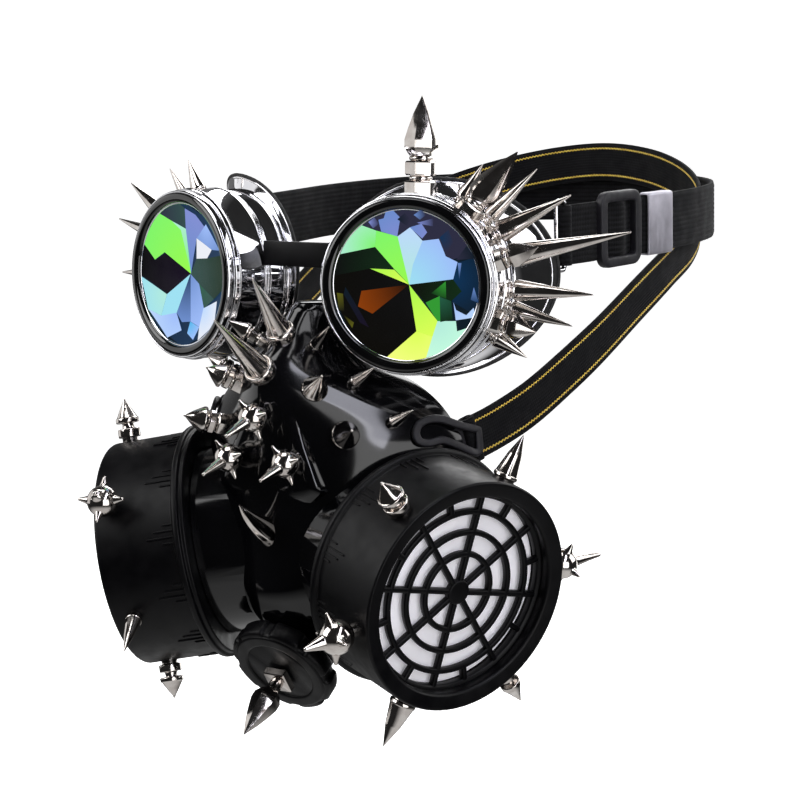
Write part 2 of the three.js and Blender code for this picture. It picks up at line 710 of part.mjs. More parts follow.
// One row a canister stud: angle in degrees from the rear towards the top, depth from the front edge.
const CANISTER_STUD_COLUMNS = ['name', 'kind', 'angle', 'depth', 'length', 'radius'];
const LEFT_STUDS = [
  ['rear', 'ball', 5, 8, 23, 4.6], ['top', 'cone', 68.5, 8, 16, 4.2],
  ['front_top', 'cone', 131, 8, 14, 4.6], ['front', 'ball', 193.2, 8, 19, 5.2],
  ['front_low', 'cone', 248.5, 8, 17, 4.6], ['low', 'cone', 308.5, 8, 18, 3.6],
];
const RIGHT_STUDS = [
  ['rear', 'ball', 20, 8, 20, 4.6], ['top', 'bullet', 83, 5, 15.6, 4.2],
  ['front_top', 'ball', 148, 6.2, 14, 4.8], ['front', 'cone', 206, 8, 18.5, 2.9],
  ['front_low', 'bullet', 260, 7.4, 13.5, 4.2], ['low', 'cone', 320, 8, 14, 3.6],
];

function canister(name, side) {
  const { radius, grilleDepth, grilleThick } = CANISTER;
  const group = canisterGroup(side);
  group.add(named(`canister_${name}`, housing(), 'satin'));
  const front = named(`grille_${name}`, grille(), 'satin');
  front.position.z = -grilleDepth - grilleThick;
  front.rotation.z = radians(GRILLE.turn) * side;
  const disc = named(`filter_${name}`, filterDisc(), 'filter');
  disc.position.z = -grilleDepth - grilleThick - GAP;
  group.add(front, disc);
  rowsOf(CANISTER_STUD_COLUMNS, side > 0 ? LEFT_STUDS : RIGHT_STUDS).forEach((row) => {
    const seat = around(radius + GAP, row.angle, row.depth, side);
    const stud = named(`canister_stud_${name}_${row.name}`, closed(STUD[row.kind](row)), 'nickel');
    stud.position.copy(seat);
    stud.quaternion.setFromUnitVectors(UP, vec(seat.x, seat.y, 0).normalize());
    group.add(stud);
  });
  return group;
}

// Outlet cap: a lobed disc with a raised middle, and a bullet spike on it.
function valve() {
  const { capRadius, capThick, neckRadius, neckSides, lobes, notch, spikeRadius, spikeLength } = VALVE;
  const lobe = [[capRadius, 0.08], [capRadius, 0.43], [capRadius, 0.78], [capRadius - notch, 0.84]];
  const outline = Array.from({ length: lobes }, (_, i) => lobe.map(([radius, share]) => {
    const angle = ((i + share) / lobes) * 2 * Math.PI;
    return new THREE.Vector2(radius * Math.cos(angle), radius * Math.sin(angle));
  })).flat();
  const settings = { depth: capThick, bevelEnabled: false };
  const disc = solid(new THREE.ExtrudeGeometry(new THREE.Shape(outline), settings));
  const top = capThick + 2;
  const boss = [[0, 0], [neckRadius, 0], [neckRadius, top - 0.8], [neckRadius - 3, top], [0, top]];
  const cap = named('valve_cap', fromSolid(disc.add(solid(turned(boss, neckSides)))), 'satin');
  cap.position.z = GAP;
  const bullet = closed(bulletStud({ radius: spikeRadius, length: spikeLength }));
  const point = named('valve_spike', bullet, 'nickel');
  point.position.z = top + 2 * GAP;
  const group = valveGroup();
  group.add(cap, point);
  return group;
}

// One row a shell stud on the middle line or the left cheek: its seat point and tip.
// Mirrored ones stand on both cheeks.
const SHELL_STUD_COLUMNS = ['name', 'kind', 'mirrored', 'radius', 'foot', 'tip'];
const SHELL_STUDS = [
  ['nose_upper', 'cone', false, 4.9, [0, -37.6, -17.9], [0, -54.1, 1.6]],
  ['nose_lower', 'cone', false, 5.2, [0, -49.6, -29.6], [0, -75, -11]],
  ['nose_side', 'cone', true, 2.3, [10.2, -31.8, -22.1], [21.2, -39.6, -14.5]],
  ['cheek_inner', 'cone', true, 4.5, [15.4, -40, -36.1], [24.3, -48.1, -30.1]],
  ['cheek_upper', 'cone', true, 2.1, [24.2, -29, -34], [35.2, -33, -27.9]],
  ['cheek_middle', 'cone', true, 4.8, [25.2, -35.8, -51.3], [35.3, -46.6, -47.7]],
  ['cheek_outer', 'cone', false, 2.3, [37.2, -24.6, -47], [47.6, -28.4, -41.8]],
  ['ball_upper', 'ball', false, 4.3, [0, -48.6, -43.6], [0, -69, -50]],
  ['ball_lower', 'ball', true, 4.2, [11.8, -46.5, -58.6], [11.8, -66, -64.2]],
];

// Curved thorn on the middle line, from a tall foot to a fine tip that turns upwards.
const CLAW_SPINE = [[0, -39.6, -87.4], [0, -55.3, -80.8], [0, -61.4, -73.9]];

function claw() {
  const { tall, wide, rows, sides } = CLAW;
  const spine = new THREE.QuadraticBezierCurve3(...CLAW_SPINE.map((p) => vec(...p)));
  const outlines = Array.from({ length: rows + 1 }, (_, row) => {
    const share = row / rows;
    const along = spine.getTangent(share);
    const rise = vec(0, along.z, -along.y);
    const taper = Math.max(0.05, (1 - share) ** CLAW.taper);
    return Array.from({ length: sides }, (_unused, i) => {
      const angle = (i / sides) * 2 * Math.PI;
      return spine.getPoint(share)
        .add(vec(wide * taper * Math.cos(angle), 0, 0))
        .addScaledVector(rise, tall * taper * Math.sin(angle));
    });
  });
  return solid(loft(outlines));
}

// Studs are cut to sit on the shell with a small gap.
const seated = (body, keepOut) => fromSolid(largest(body.subtract(keepOut)));

function shellStuds() {
  const keepOut = shellSolid(GAP);
  const sunk = 4;
  const studs = [named('claw', seated(claw(), keepOut), 'nickel')];
  rowsOf(SHELL_STUD_COLUMNS, SHELL_STUDS).forEach((row) => {
    const copies = row.mirrored ? SIDES : [['', 1]];
    copies.forEach(([name, side]) => {
      const flip = vec(side, 1, 1);
      const foot = vec(...row.foot).multiply(flip);
      const direction = vec(...row.tip).multiply(flip).sub(foot);
      const length = direction.length();
      const form = STUD[row.kind]({ radius: row.radius, length, sunk });
      const label = name ? `${row.name}_${name}` : row.name;
      studs.push(named(`stud_${label}`, seated(solid(form, standing(foot, direction)), keepOut), 'nickel'));
    });
  });
  return studs;
}

// Assembly

const mask = new THREE.Group();
SIDES.forEach(([name, side]) => {
  mask.add(goggle(name, side), canister(name, side), strapLug(name, side));
});
mask.add(bridge(), goggleStrap(), shell(), valve(), respiratorStrap(), ...shellStuds());
mask.updateMatrixWorld(true);

export default mask;
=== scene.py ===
"""Looks of a studded pair of goggles and half-face respirator, worn together on two elastic straps.

Shapes are worked out in millimetres in the part's own frame and written to the meshes in metres.
The face looks along -Y, +X is the wearer's left and +Z is up.
"""
from math import atan, atan2, copysign, cos, dist, exp, hypot, pi, radians, sin
from types import SimpleNamespace as Sizes

import bmesh
import bpy
import numpy as np
from mathutils import Matrix, Vector
from mathutils.geometry import tessellate_polygon


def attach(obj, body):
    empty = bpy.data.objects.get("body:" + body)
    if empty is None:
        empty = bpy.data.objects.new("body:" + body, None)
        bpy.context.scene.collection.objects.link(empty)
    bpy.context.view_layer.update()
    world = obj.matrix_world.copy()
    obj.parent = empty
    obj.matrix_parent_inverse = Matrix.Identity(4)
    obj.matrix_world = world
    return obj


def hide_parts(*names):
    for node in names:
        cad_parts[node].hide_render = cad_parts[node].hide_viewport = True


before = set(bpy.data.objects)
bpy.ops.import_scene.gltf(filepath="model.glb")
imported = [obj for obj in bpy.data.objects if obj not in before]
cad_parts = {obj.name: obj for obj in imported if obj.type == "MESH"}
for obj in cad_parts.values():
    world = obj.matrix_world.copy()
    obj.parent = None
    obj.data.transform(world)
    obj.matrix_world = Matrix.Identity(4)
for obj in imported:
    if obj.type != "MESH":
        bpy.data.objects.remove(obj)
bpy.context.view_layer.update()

MM = 0.001
UP = Vector((0, 0, 1))
SIDES = (("left", 1), ("right", -1))
TURN = 2 * pi

# Driving sizes of the solids, in millimetres and degrees
GOGGLE = Sizes(centre=(47.3, -34.0, 0), splay=16.4, lens_radius=25.8, bore=25.0, band=30.3)
CUP = Sizes(
    wall=1.8, start=26.3, throat=29.1, nose_depth=28.0, temple_curve=0.0144, curve_start=-5.0,
    across=3.5, half_width=36.5, up=1.2, half_height=33.7,
)
CANISTER = Sizes(
    front=(70.7, -30.1, -102.6), splay=68.4, droop=11.2, radius=40.4, flange=42.3, bore=36.0,
    depth=33.3, rear_hole=30.0, grille_depth=5.2, grille_thick=2.6, filter_thick=2.4,
)
GRILLE = Sizes(hub=4.3, rings=(13.4, 21.0, 28.3), rim=33.2, bar=2.3, spokes=16, turn=-8.5)
SHELL = Sizes(wall=2.5, port=34.0, port_bore=29.0, port_length=24.0)
VALVE = Sizes(
    centre=(0, -32.0, -133.4), lean=36.0, neck=13.0, neck_bore=10.0, neck_length=16.0,
    cap=20.0, thick=7.0, lobes=8, spike_radius=5.0, spike_length=24.0,
)
ELASTIC = Sizes(width=21.0, thick=2.0, level=12.84, slope=0.0567, slider_at=31.4, clip_at=57.0)
MASK_STRAP = Sizes(width=16.0, thick=1.6, stitch_half=5.7)
BRIDGE = Sizes(half=14.1, bow=1.6, height=8.6, thick=2.0, front=-28.4, bottom=4.2)
SLIDER = Sizes(
    length=22.2, past_edges=2.4, corner=3.6, rim=(3.8, 3.4), bar=(3.2, 1.6), proud=0.7, bar_drop=0.9,
)
CLIP = Sizes(half_length=8.0, outer=(4.8, 23.0), inner=(3.2, 21.6))
LUG = Sizes(section=(2.8, 2.0), tab=(9.0, 13.0), tab_ahead=7.4, outward=(0.8, -0.5, 0.33))
CLAW = Sizes(
    foot=(0, -39.6, -87.4), bend=(0, -55.3, -80.8), tip=(0, -61.4, -73.9), half_width=4.0, half_height=5.6,
)
LOOP = Sizes(length=4.1, height=24.1, wire=0.95, to_middle=2.0, lean=0.2)
GAP = 0.3


def rows_of(columns, rows):
    return [Sizes(**dict(zip(columns.split(), row))) for row in rows]


SPIKES = rows_of("kind nuts depth foot_angle tip_angle radius left right", [
    ("bullet", 2, 16, 88.5, 89, 5.4, 62.5, 0),
    ("cone", 0, 20, 63.7, 62, 2.9, 45.1, 45.1),
    ("bullet", 1, 10.5, 53, 51.4, 4.8, 56.6, 0),
    ("cone", 0, 23, 44, 44.6, 2.9, 54.7, 52),
    ("cone", 0, 17, 33, 30, 3.8, 60, 62),
    ("cone", 0, 21, 18, 14.2, 4, 73.7, 70),
    ("bullet", 1, 9, 16, 16.9, 4.2, 44.8, 0),
    ("cone", 0, 19, -3.5, -2.6, 3.6, 59.7, 63),
    ("cone", 0, 22, -15, -14.6, 3, 54, 54),
    ("bullet", 1, 10.5, -23.5, -19.5, 4.2, 45, 0),
    ("cone", 0, 19, -34.5, -33, 3.1, 44.7, 44.7),
])
CANISTER_STUDS = rows_of("side name kind angle depth length radius", [
    ("left", "rear", "ball", 5, 8, 23, 4.6),
    ("left", "top", "spire", 68.5, 8, 16, 4.2),
    ("left", "front_top", "pin", 131, 8, 14, 4.6),
    ("left", "front", "ball", 193.2, 8, 19, 5.2),
    ("left", "front_low", "spire", 248.5, 8, 17, 4.6),
    ("left", "low", "pin", 308.5, 8, 18, 3.6),
    ("right", "rear", "ball", 20, 8, 20, 4.6),
    ("right", "top", "pin", 83, 5, 15.6, 4.2),
    ("right", "front_top", "ball", 148, 6.2, 14, 4.8),
    ("right", "front", "spire", 206, 8, 18.5, 2.9),
    ("right", "front_low", "pin", 260, 7.4, 13.5, 4.2),
    ("right", "low", "spire", 320, 8, 14, 3.6),
])
SHELL_STUDS = rows_of("name kind mirrored radius foot tip", [
    ("nose_upper", "nose", False, 4.9, (0, -37.6, -17.9), (0, -54.1, 1.6)),
    ("nose_lower", "nose", False, 5.2, (0, -49.6, -29.6), (0, -75, -11)),
    ("nose_side", "spire", True, 2.3, (10.2, -31.8, -22.1), (21.2, -39.6, -14.5)),
    ("cheek_inner", "rimmed", True, 4.5, (15.4, -40, -36.1), (24.3, -48.1, -30.1)),
    ("cheek_upper", "spire", True, 2.1, (24.2, -29, -34), (35.2, -33, -27.9)),
    ("cheek_middle", "rimmed", True, 4.8, (25.2, -35.8, -51.3), (35.3, -46.6, -47.7)),
    ("cheek_outer", "spire", False, 2.3, (37.2, -24.6, -47), (47.6, -28.4, -41.8)),
    ("ball_upper", "ball", False, 4.3, (0, -48.6, -43.6), (0, -69, -50)),
    ("ball_lower", "ball", True, 4.2, (11.8, -46.5, -58.6), (11.8, -66, -64.2)),
])
# Levels of the shell: height, front, rim, half width and how square the outline bends
LEVELS = np.array([
    (-8, -28, -13.8, 6.8, 1.9), (-20, -39.5, -10.5, 12.5, 1.7), (-28, -48.5, -8.5, 20, 1.55),
    (-36, -50, -6.5, 36, 1.4), (-51, -47.5, -4, 50.5, 1.4), (-75, -46.5, 2, 47, 1.9),
    (-95, -45, 8, 43, 2), (-110, -43.5, 13, 36, 2), (-121, -37, 15, 27, 2),
    (-128, -25, 14.5, 17, 2), (-131, -12, 13.5, 8, 2),
])
# Right edge of the plate on the front of the shell, as (x, z)
PANEL = [(5.5, -33.5), (9, -46), (14, -57), (19, -68.5), (15, -72)]
# Left half of each strap's route, and its middle at the back of the head
ELASTIC_HALF = [
    (68.8, 36.2, 0), (72.4, 55, 0), (75.4, 80, 0), (78.2, 105, 0), (77, 130, 0), (72, 152, 0), (61, 173, 0),
    (44, 190, 0), (22, 201, 0),
]
ELASTIC_BACK = (0, 205, 0)
STRAP_HALF = [
    (52.4, 1.8, -54.5), (56.3, 11.5, -50.8), (61.8, 25, -44.1), (67, 43, -33.7),
    (70.8, 60, -23.8), (73.4, 86, -10), (74.2, 110, 1), (72.6, 132, 9),
    (67.6, 150, 16.5), (57, 170, 25), (41, 186, 32), (21, 197, 37),
]
STRAP_BACK = (0, 200.6, 39)
# Closed loop of the left strap lug
LUG_LOOP = [
    (54.6, 2.4, -51.2), (51.0, -5.6, -48.8), (47.8, -10.2, -46.8), (45.2, -14.6, -46.6),
    (43.4, -18.1, -48.2), (43.3, -19.8, -51.0), (44.6, -19.6, -53.6), (46.4, -16.6, -54.4),
    (49.1, -12.6, -53.6), (52.2, -7.6, -55.6), (55.4, 1.2, -58.6),
]


# Materials

def linear(colour):
    """An sRGB colour as the linear values that a shader takes."""
    return tuple(c / 12.92 if c <= 0.04045 else ((c + 0.055) / 1.055) ** 2.4 for c in colour)


def add_node(tree, kind, inputs=None, **properties):
    """New node of a tree, each of its inputs linked to a socket or set to a value."""
    made = tree.nodes.new("ShaderNode" + kind)
    for key, value in properties.items():
        setattr(made, key, value)
    for key, value in (inputs or {}).items():
        if isinstance(value, bpy.types.NodeSocket):
            tree.links.new(value, made.inputs[key])
        else:
            made.inputs[key].default_value = value
    return made


def add_ramp(tree, source, stops):
    """Colour that goes with a source, through stops of (source value, colour)."""
    ramp = add_node(tree, "ValToRGB", {"Fac": source})
    for element, (spot, colour) in zip(ramp.color_ramp.elements, stops):
        element.position = spot
        element.color = (*colour, 1)
    return ramp.outputs["Color"]


class Paint:
    """A node material built on the principled shader, with the few kinds of node that it uses."""

    def __init__(self, name, colour, roughness, metallic=0.0, **sockets):
        self.material = bpy.data.materials.new(name)
        self.material.use_nodes = True
        self.tree = self.material.node_tree
        self.shader = self.tree.nodes["Principled BSDF"]
        self.normal = None
        settings = {"Base Color": (*linear(colour), 1), "Roughness": roughness, "Metallic": metallic}
        settings.update({key.replace("_", " "): value for key, value in sockets.items()})
        for key, value in settings.items():
            self.shader.inputs[key].default_value = value

    def node(self, output, kind, inputs=None, **properties):
        return add_node(self.tree, kind, inputs, **properties).outputs[output]

    def noise(self, size_mm, detail, stretch=(1, 1, 1)):
        spot = self.node("Object", "TexCoord")
        place = self.node("Vector", "Mapping", {"Vector": spot, "Scale": stretch})
        return self.node("Fac", "TexNoise", {"Vector": place, "Scale": 1 / (size_mm * MM), "Detail": detail})

    def waves(self, measure, pitch_mm):
        """Smooth ridges, from 0 to 1, at a pitch along one of the piece's own measures."""
        source = self.node("Fac", "Attribute", attribute_name=measure)
        turns = self.node("Value", "Math", {0: source, 1: TURN / pitch_mm}, operation="MULTIPLY")
        sine = self.node("Value", "Math", {0: turns}, operation="SINE")
        return self.ranged(sine, 0.0, 1.0, -1.0, 1.0)

    def ranged(self, source, low, high, start=0.35, end=0.65):
        inputs = {"Value": source, "From Min": start, "From Max": end, "To Min": low, "To Max": high}
        return self.node("Result", "MapRange", inputs)

    def feed(self, socket, source):
        self.tree.links.new(source, self.shader.inputs[socket])
        return self

    def tinted(self, source, first, second, start=0.35, end=0.65):
        stops = ((start, linear(first)), (end, linear(second)))
        return self.feed("Base Color", add_ramp(self.tree, source, stops))

    def bumped(self, source, height_mm, strength):
        inputs = {"Height": source, "Distance": height_mm * MM, "Strength": strength}
        if self.normal is not None:
            inputs["Normal"] = self.normal
        self.normal = self.node("Normal", "Bump", inputs)
        return self.feed("Normal", self.normal)


def mottled(name, colour, roughness, metallic=0.0, gloss=None, tint=None, bumps=(), **sockets):
    """Material that varies a little over the surface. Each row starts with a noise's size in millimetres and
    its detail. Then gloss has two roughnesses, tint two colours, and a bump its height and strength."""
    paint = Paint(name, colour, roughness, metallic, **sockets)
    if gloss:
        paint.feed("Roughness", paint.ranged(paint.noise(*gloss[:2]), *gloss[2:]))
    if tint:
        paint.tinted(paint.noise(*tint[:2]), *tint[2:])
    for bump in bumps:
        paint.bumped(paint.noise(*bump[:2]), *bump[2:])
    return paint.material


def webbing(name, rib_pitch, rib_height):
    """Black elastic: lengthwise ribs and fine cross threads, from the strap's own measures, with painted
    shade in the grooves between the ribs.
    """
    paint = Paint(name, (0.06, 0.06, 0.065), 0.85, Sheen_Weight=0.04, Specular_IOR_Level=0.15)
    across, along = paint.waves("across", rib_pitch), paint.waves("along", 0.9)
    # Painted shade: the colour follows the rib height, darker in the grooves and lighter on the rib tops
    paint.tinted(across, (0.025, 0.025, 0.03), (0.06, 0.06, 0.07), 0.1, 0.9)
    paint.feed("Roughness", paint.ranged(paint.noise(6, 3), 0.75, 0.95))
    paint.bumped(across, rib_height, 0.8).bumped(along, 0.08, 0.5)
    return paint.bumped(paint.noise(0.4, 3), 0.08, 0.5).material


def brushed():
    paint = Paint("brushed_steel", (0.72, 0.71, 0.74), 0.45, 0.8)
    grain = paint.noise(2.2, 4, stretch=(1, 1, 0.08))
    paint.feed("Roughness", paint.ranged(grain, 0.38, 0.52))
    paint.tinted(paint.noise(9, 4), (0.68, 0.67, 0.71), (0.8, 0.79, 0.83))
    return paint.bumped(grain, 0.02, 0.25).material


def facets():
    """Coated cut glass: each facet glows in its colour under a thin gloss; the colours are the glass's own
    tints mixed with painted reflections.
    """
    paint = Paint("dichroic_facets_painted_reflections", (0.01, 0.01, 0.012), 0.3, Emission_Strength=1.0, Specular_IOR_Level=0.06)
    # The facet colours glow through emission, painted light that stands in for the lamps' reflections
    paint.feed("Emission Color", paint.node("Color", "Attribute", attribute_name="facet"))
    return paint.feed("Roughness", paint.ranged(paint.noise(8, 3), 0.22, 0.36)).material


CHROME = mottled("chrome", (0.93, 0.93, 0.94), 0.05, 1.0, (9, 4, 0.03, 0.08),
                 (14, 5, (0.9, 0.9, 0.92), (0.97, 0.97, 0.98)))
NICKEL = mottled("nickel", (0.85, 0.83, 0.8), 0.16, 1.0, (2.5, 4, 0.08, 0.13),
                 (5, 4, (0.78, 0.75, 0.73), (0.87, 0.85, 0.83)))
ENAMEL = mottled("black_enamel", (0.03, 0.03, 0.035), 0.08, 0.0, (4, 4, 0.06, 0.14),
                 (12, 4, (0.02, 0.02, 0.025), (0.045, 0.045, 0.05)), Coat_Weight=0.5, Coat_Roughness=0.03)
PVC = mottled("gloss_pvc", (0.04, 0.04, 0.05), 0.15, 0.0, (16, 5, 0.07, 0.12),
              (30, 4, (0.02, 0.02, 0.028), (0.04, 0.04, 0.05)), [(18, 2, 0.2, 0.25)], Specular_IOR_Level=0.5)
SATIN = mottled("satin_plastic", (0.03, 0.028, 0.036), 0.4, 0.0, (5, 5, 0.34, 0.46),
                (11, 6, (0.008, 0.007, 0.014), (0.026, 0.024, 0.034)),
                [(0.7, 2, 0.02, 0.3), (9, 3, 0.06, 0.2)], Specular_IOR_Level=0.17)
LINING = mottled("cup_lining", (0.06, 0.06, 0.065), 0.6, 0.0, (3, 4, 0.5, 0.75), bumps=[(0.9, 2, 0.04, 0.4)])
# The felt glows a little through emission: painted light that makes it whiter than the lamps alone would
GLOWING_FELT = mottled("filter_felt", (0.97, 0.96, 0.99), 0.95, 0.0, None,
               (1.6, 5, (0.95, 0.94, 0.97), (1.0, 0.99, 1.0)), [(0.6, 4, 0.08, 0.4)],
               Sheen_Weight=0.2, Emission_Strength=0.2, Emission_Color=(0.95, 0.94, 1, 1))
THREAD = mottled("stitch_thread", (0.92, 0.77, 0.2), 0.55, 0.0, None,
                 (1.1, 3, (0.84, 0.66, 0.13), (0.96, 0.84, 0.33)), [(0.3, 2, 0.05, 0.5)], Sheen_Weight=0.3)
MOULDED = mottled("moulded_plastic", (0.11, 0.105, 0.125), 0.5, 0.0, (3, 4, 0.42, 0.6),
                  (7, 4, (0.09, 0.086, 0.105), (0.13, 0.125, 0.145)), [(0.5, 2, 0.04, 0.4)],
                  Specular_IOR_Level=0.35)
PALE = mottled("pale_floor", (0.96, 0.96, 0.96), 0.9, 0.0, None,
               (400, 2, (0.955, 0.955, 0.955), (0.965, 0.965, 0.965)),
               Emission_Strength=1.0, Emission_Color=(1, 1, 1, 1))
RIBBED, FLAT_WEB = webbing("ribbed_elastic", 1.8, 0.25), webbing("flat_elastic", 1.1, 0.08)
BRUSHED, GLOWING_FACETS = brushed(), facets()


# Shapes: each is a list of points and a list of faces

class Form:
    """Points and faces of one piece, in millimetres, gathered from simple shapes, with the material slot of
    each face. Its measures are lengths kept with the points, for the material to read."""

    def __init__(self):
        self.points, self.faces, self.slots, self.measures = [], [], [], {}

    def add(self, shape, place=None, slot=0):
        points, faces = shape
        base = len(self.points)
        self.points += [place @ Vector(p) if place else Vector(p) for p in points]
        self.faces += [tuple(base + i for i in face) for face in faces]
        self.slots += [slot] * len(faces)
        return self


def solid_mesh(name, points, faces):
    """Mesh with all its faces turned outwards."""
    mesh = bpy.data.meshes.new(name)
    mesh.from_pydata(points, [], faces)
    work = bmesh.new()
    work.from_mesh(mesh)
    bmesh.ops.recalc_face_normals(work, faces=work.faces)
    work.to_mesh(mesh)
    work.free()
    return mesh


def linked(name, data):
    obj = bpy.data.objects.new(name, data)
    bpy.context.scene.collection.objects.link(obj)
    return obj


def piece(name, form, materials, replaces=(), sharp=38.0):
    mesh = solid_mesh(name, [p * MM for p in form.points], form.faces)
    for material in materials:
        mesh.materials.append(material)
    mesh.polygons.foreach_set("material_index", form.slots)
    for key, numbers in form.measures.items():
        mesh.attributes.new(key, "FLOAT", "POINT").data.foreach_set("value", numbers)
    mesh.shade_smooth()
    mesh.set_sharp_from_angle(angle=radians(sharp))
    obj = linked(name, mesh)
    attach(obj, "root")
    if replaces:
        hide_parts(*replaces)
    return obj


def eased(points, radius, steps=3, closed=False):
    """The same outline with its corners rounded, each by at most 0.45 of its shorter side."""
    points = [np.array(p, float) for p in points]
    count = len(points)
    result = []
    for i, point in enumerate(points):
        if not closed and i in (0, count - 1):
            result.append(point)
            continue
        before, after = points[i - 1] - point, points[(i + 1) % count] - point
        lengths = np.linalg.norm(before), np.linalg.norm(after)
        cut = min(radius, 0.45 * lengths[0], 0.45 * lengths[1])
        first, last = point + before / lengths[0] * cut, point + after / lengths[1] * cut
        for t in np.linspace(0, 1, steps + 1):
            result.append((1 - t) ** 2 * first + 2 * t * (1 - t) * point + t * t * last)
    return result


def rounded_box(width, height, radius, steps=3):
    corners = [(x * width / 2, y * height / 2) for x, y in ((-1, -1), (1, -1), (1, 1), (-1, 1))]
    return eased(corners, radius, steps, closed=True)


def circle(radius, count):
    return [(radius * cos(a), radius * sin(a)) for a in np.linspace(0, TURN, count, endpoint=False)]


def below(profile):
    """Profile of (radius, depth) with depth counted down from the front."""
    return [(radius, -depth) for radius, depth in profile]


def scaled(size, rows):
    return [(size * a, size * b) for a, b in rows]


def loft(rings, wrap=False):
    """Shape through closed rings of equal count. Wrap joins the last to the first instead of capping both."""
    count = len(rings[0])
    points = [p for ring in rings for p in ring]
    faces = []
    for row in range(len(rings) if wrap else len(rings) - 1):
        here, there = row * count, ((row + 1) % len(rings)) * count
        for i in range(count):
            j = (i + 1) % count
            faces.append((here + i, here + j, there + j, there + i))
    if not wrap:
        faces.append(tuple(range(count))[::-1])
        faces.append(tuple((len(rings) - 1) * count + i for i in range(count)))
    return points, faces


def stacked(outline, rows):
    """Shape through copies of an outline of (x, y), each at a height and with a scale."""
    return loft([[Vector((x * s, y * s, z)) for x, y in outline] for z, s in rows])


def swept(path, section, ups, closed=True):
    """Section of (sideways, upwards) pairs carried along a path, with the upward side at each point."""
    last = len(path) - 1
    rings = []
    for i, (point, up) in enumerate(zip(path, ups)):
        before, after = (i - 1, (i + 1) % len(path)) if closed else (max(i - 1, 0), min(i + 1, last))
        wide = (path[after] - path[before]).cross(up).normalized()
        rings.append([point + wide * u + up * v for u, v in section])
    return loft(rings, wrap=closed)


def lathe(profile, sides, closed=False, radius_at=lambda radius, angle: radius):
    """Profile of (radius, height) turned about Z. A radius of zero is a single point on the axis.
    radius_at may change the radius round the turn."""
    points, faces, rows = [], [], []
    for radius, height in profile:
        if radius < 1e-6:
            rows.append([len(points)])
            points.append((0, 0, height))
            continue
        rows.append(list(range(len(points), len(points) + sides)))
        for i in range(sides):
            angle = i / sides * TURN
            r = radius_at(radius, angle)
            points.append((r * cos(angle), r * sin(angle), height))
    pairs = list(zip(rows, rows[1:])) + ([(rows[-1], rows[0])] if closed else [])
    for a, b in pairs:
        for i in range(sides):
            j = (i + 1) % sides
            quad = [a[i % len(a)], a[j % len(a)], b[j % len(b)], b[i % len(b)]]
            face = tuple(dict.fromkeys(quad))
            if len(face) > 2:
                faces.append(face)
    return points, faces


def ring(profile, ease, steps, sides):
    """Ring turned from a closed outline of (radius, depth), its corners eased."""
    return lathe(eased(below(profile), ease, steps, closed=True), sides, closed=True)


def rotated(degrees):
    return Matrix.Rotation(radians(degrees), 4, "Z")


def lifted(height):
    return Matrix.Translation((0, 0, height))


def basis(point, x, y, z):
    return Matrix.Translation(point) @ Matrix((x, y, z)).transposed().to_4x4()


def aimed(point, axis, level=UP):
    """Matrix whose local +Z lies along an axis, with local X square to the axis and to another direction."""
    z = Vector(axis).normalized()
    x = Vector(level).cross(z).normalized()
    return basis(point, x, z.cross(x), z)


def facing(centre, splay, droop, side=1):
    """Matrix at a centre, or at its mirror image, with local +Z forwards, splayed outwards and drooping."""
    x, y, z = centre
    splay, droop = radians(splay), radians(droop)
    level = cos(droop)
    return aimed((side * x, y, z), (side * sin(splay) * level, -cos(splay) * level, -sin(droop)))


def standing(point, direction):
    """Matrix that stands a shape on a point, its local +Z along a direction."""
    return Matrix.Translation(point) @ UP.rotation_difference(Vector(direction)).to_matrix().to_4x4()


def hermite(t, start, start_slope, end, end_slope):
    """Cubic between two values, with a slope at each."""
    return ((2 * t**3 - 3 * t**2 + 1) * start + (t**3 - 2 * t**2 + t) * start_slope
            + (3 * t**2 - 2 * t**3) * end + (t**3 - t**2) * end_slope)


def spline(points, count):
    """Evenly spaced points on a centripetal curve through the given ones, and their distances along it."""
    p = [np.array(q, float) for q in points]
    p = [2 * p[0] - p[1], *p, 2 * p[-1] - p[-2]]
    dense = []
    for i in range(1, len(p) - 2):
        a, b, c = (max(np.linalg.norm(p[k + 1] - p[k]), 1e-6) ** 0.5 for k in (i - 1, i, i + 1))
        m0 = ((p[i] - p[i - 1]) / a - (p[i + 1] - p[i - 1]) / (a + b) + (p[i + 1] - p[i]) / b) * b
        m1 = ((p[i + 1] - p[i]) / b - (p[i + 2] - p[i]) / (b + c) + (p[i + 2] - p[i + 1]) / c) * b
        dense += [hermite(t, p[i], m0, p[i + 1], m1) for t in np.linspace(0, 1, 40, endpoint=False)]
    dense = np.array(dense + [p[-2]])
    lengths = np.concatenate([[0], np.cumsum(np.linalg.norm(np.diff(dense, axis=0), axis=1))])
    stops = np.linspace(0, lengths[-1], count)
    return np.stack([np.interp(stops, lengths, dense[:, k]) for k in range(3)], 1), stops


# Studs: each stands along local +Z on its seat at zero, with its foot sunk below

HEX_TURN = rotated(22)


def crowned(radius, angle):
    """Radius round a hexagon with slightly rounded flats."""
    offset = angle % (pi / 3) - pi / 6
    return radius * (0.15 + 0.85 * cos(pi / 6) / cos(offset))


def hex_turned(form, place, profile):
    form.add(lathe(profile, 36, radius_at=crowned), place @ HEX_TURN)


def turned(form, place, profile, sides=36, ease=0.28, steps=2):
    form.add(lathe(eased(profile, ease, steps), sides), place)


def hex_nut(form, place, r, low, high):
    chamfer = min(r * 0.1, (high - low) * 0.25)
    hex_turned(form, place, [
        (0, low), (r * 0.9, low), (r, low + chamfer), (r, high - chamfer), (r * 0.9, high), (0, high),
    ])


def hex_head(form, place, r, low, tip):
    """Six-sided point: a short flare, a straight part and a long taper."""
    rise = tip - low
    hex_turned(form, place, [
        (0, low), (0.7 * r, low), (r, low + 0.13 * rise), (r, low + 0.27 * rise),
        (0.8 * r, low + 0.46 * rise), (0.5 * r, low + 0.7 * rise), (0.26, tip - 0.5), (0.14, tip - 0.1),
        (0, tip),
    ])


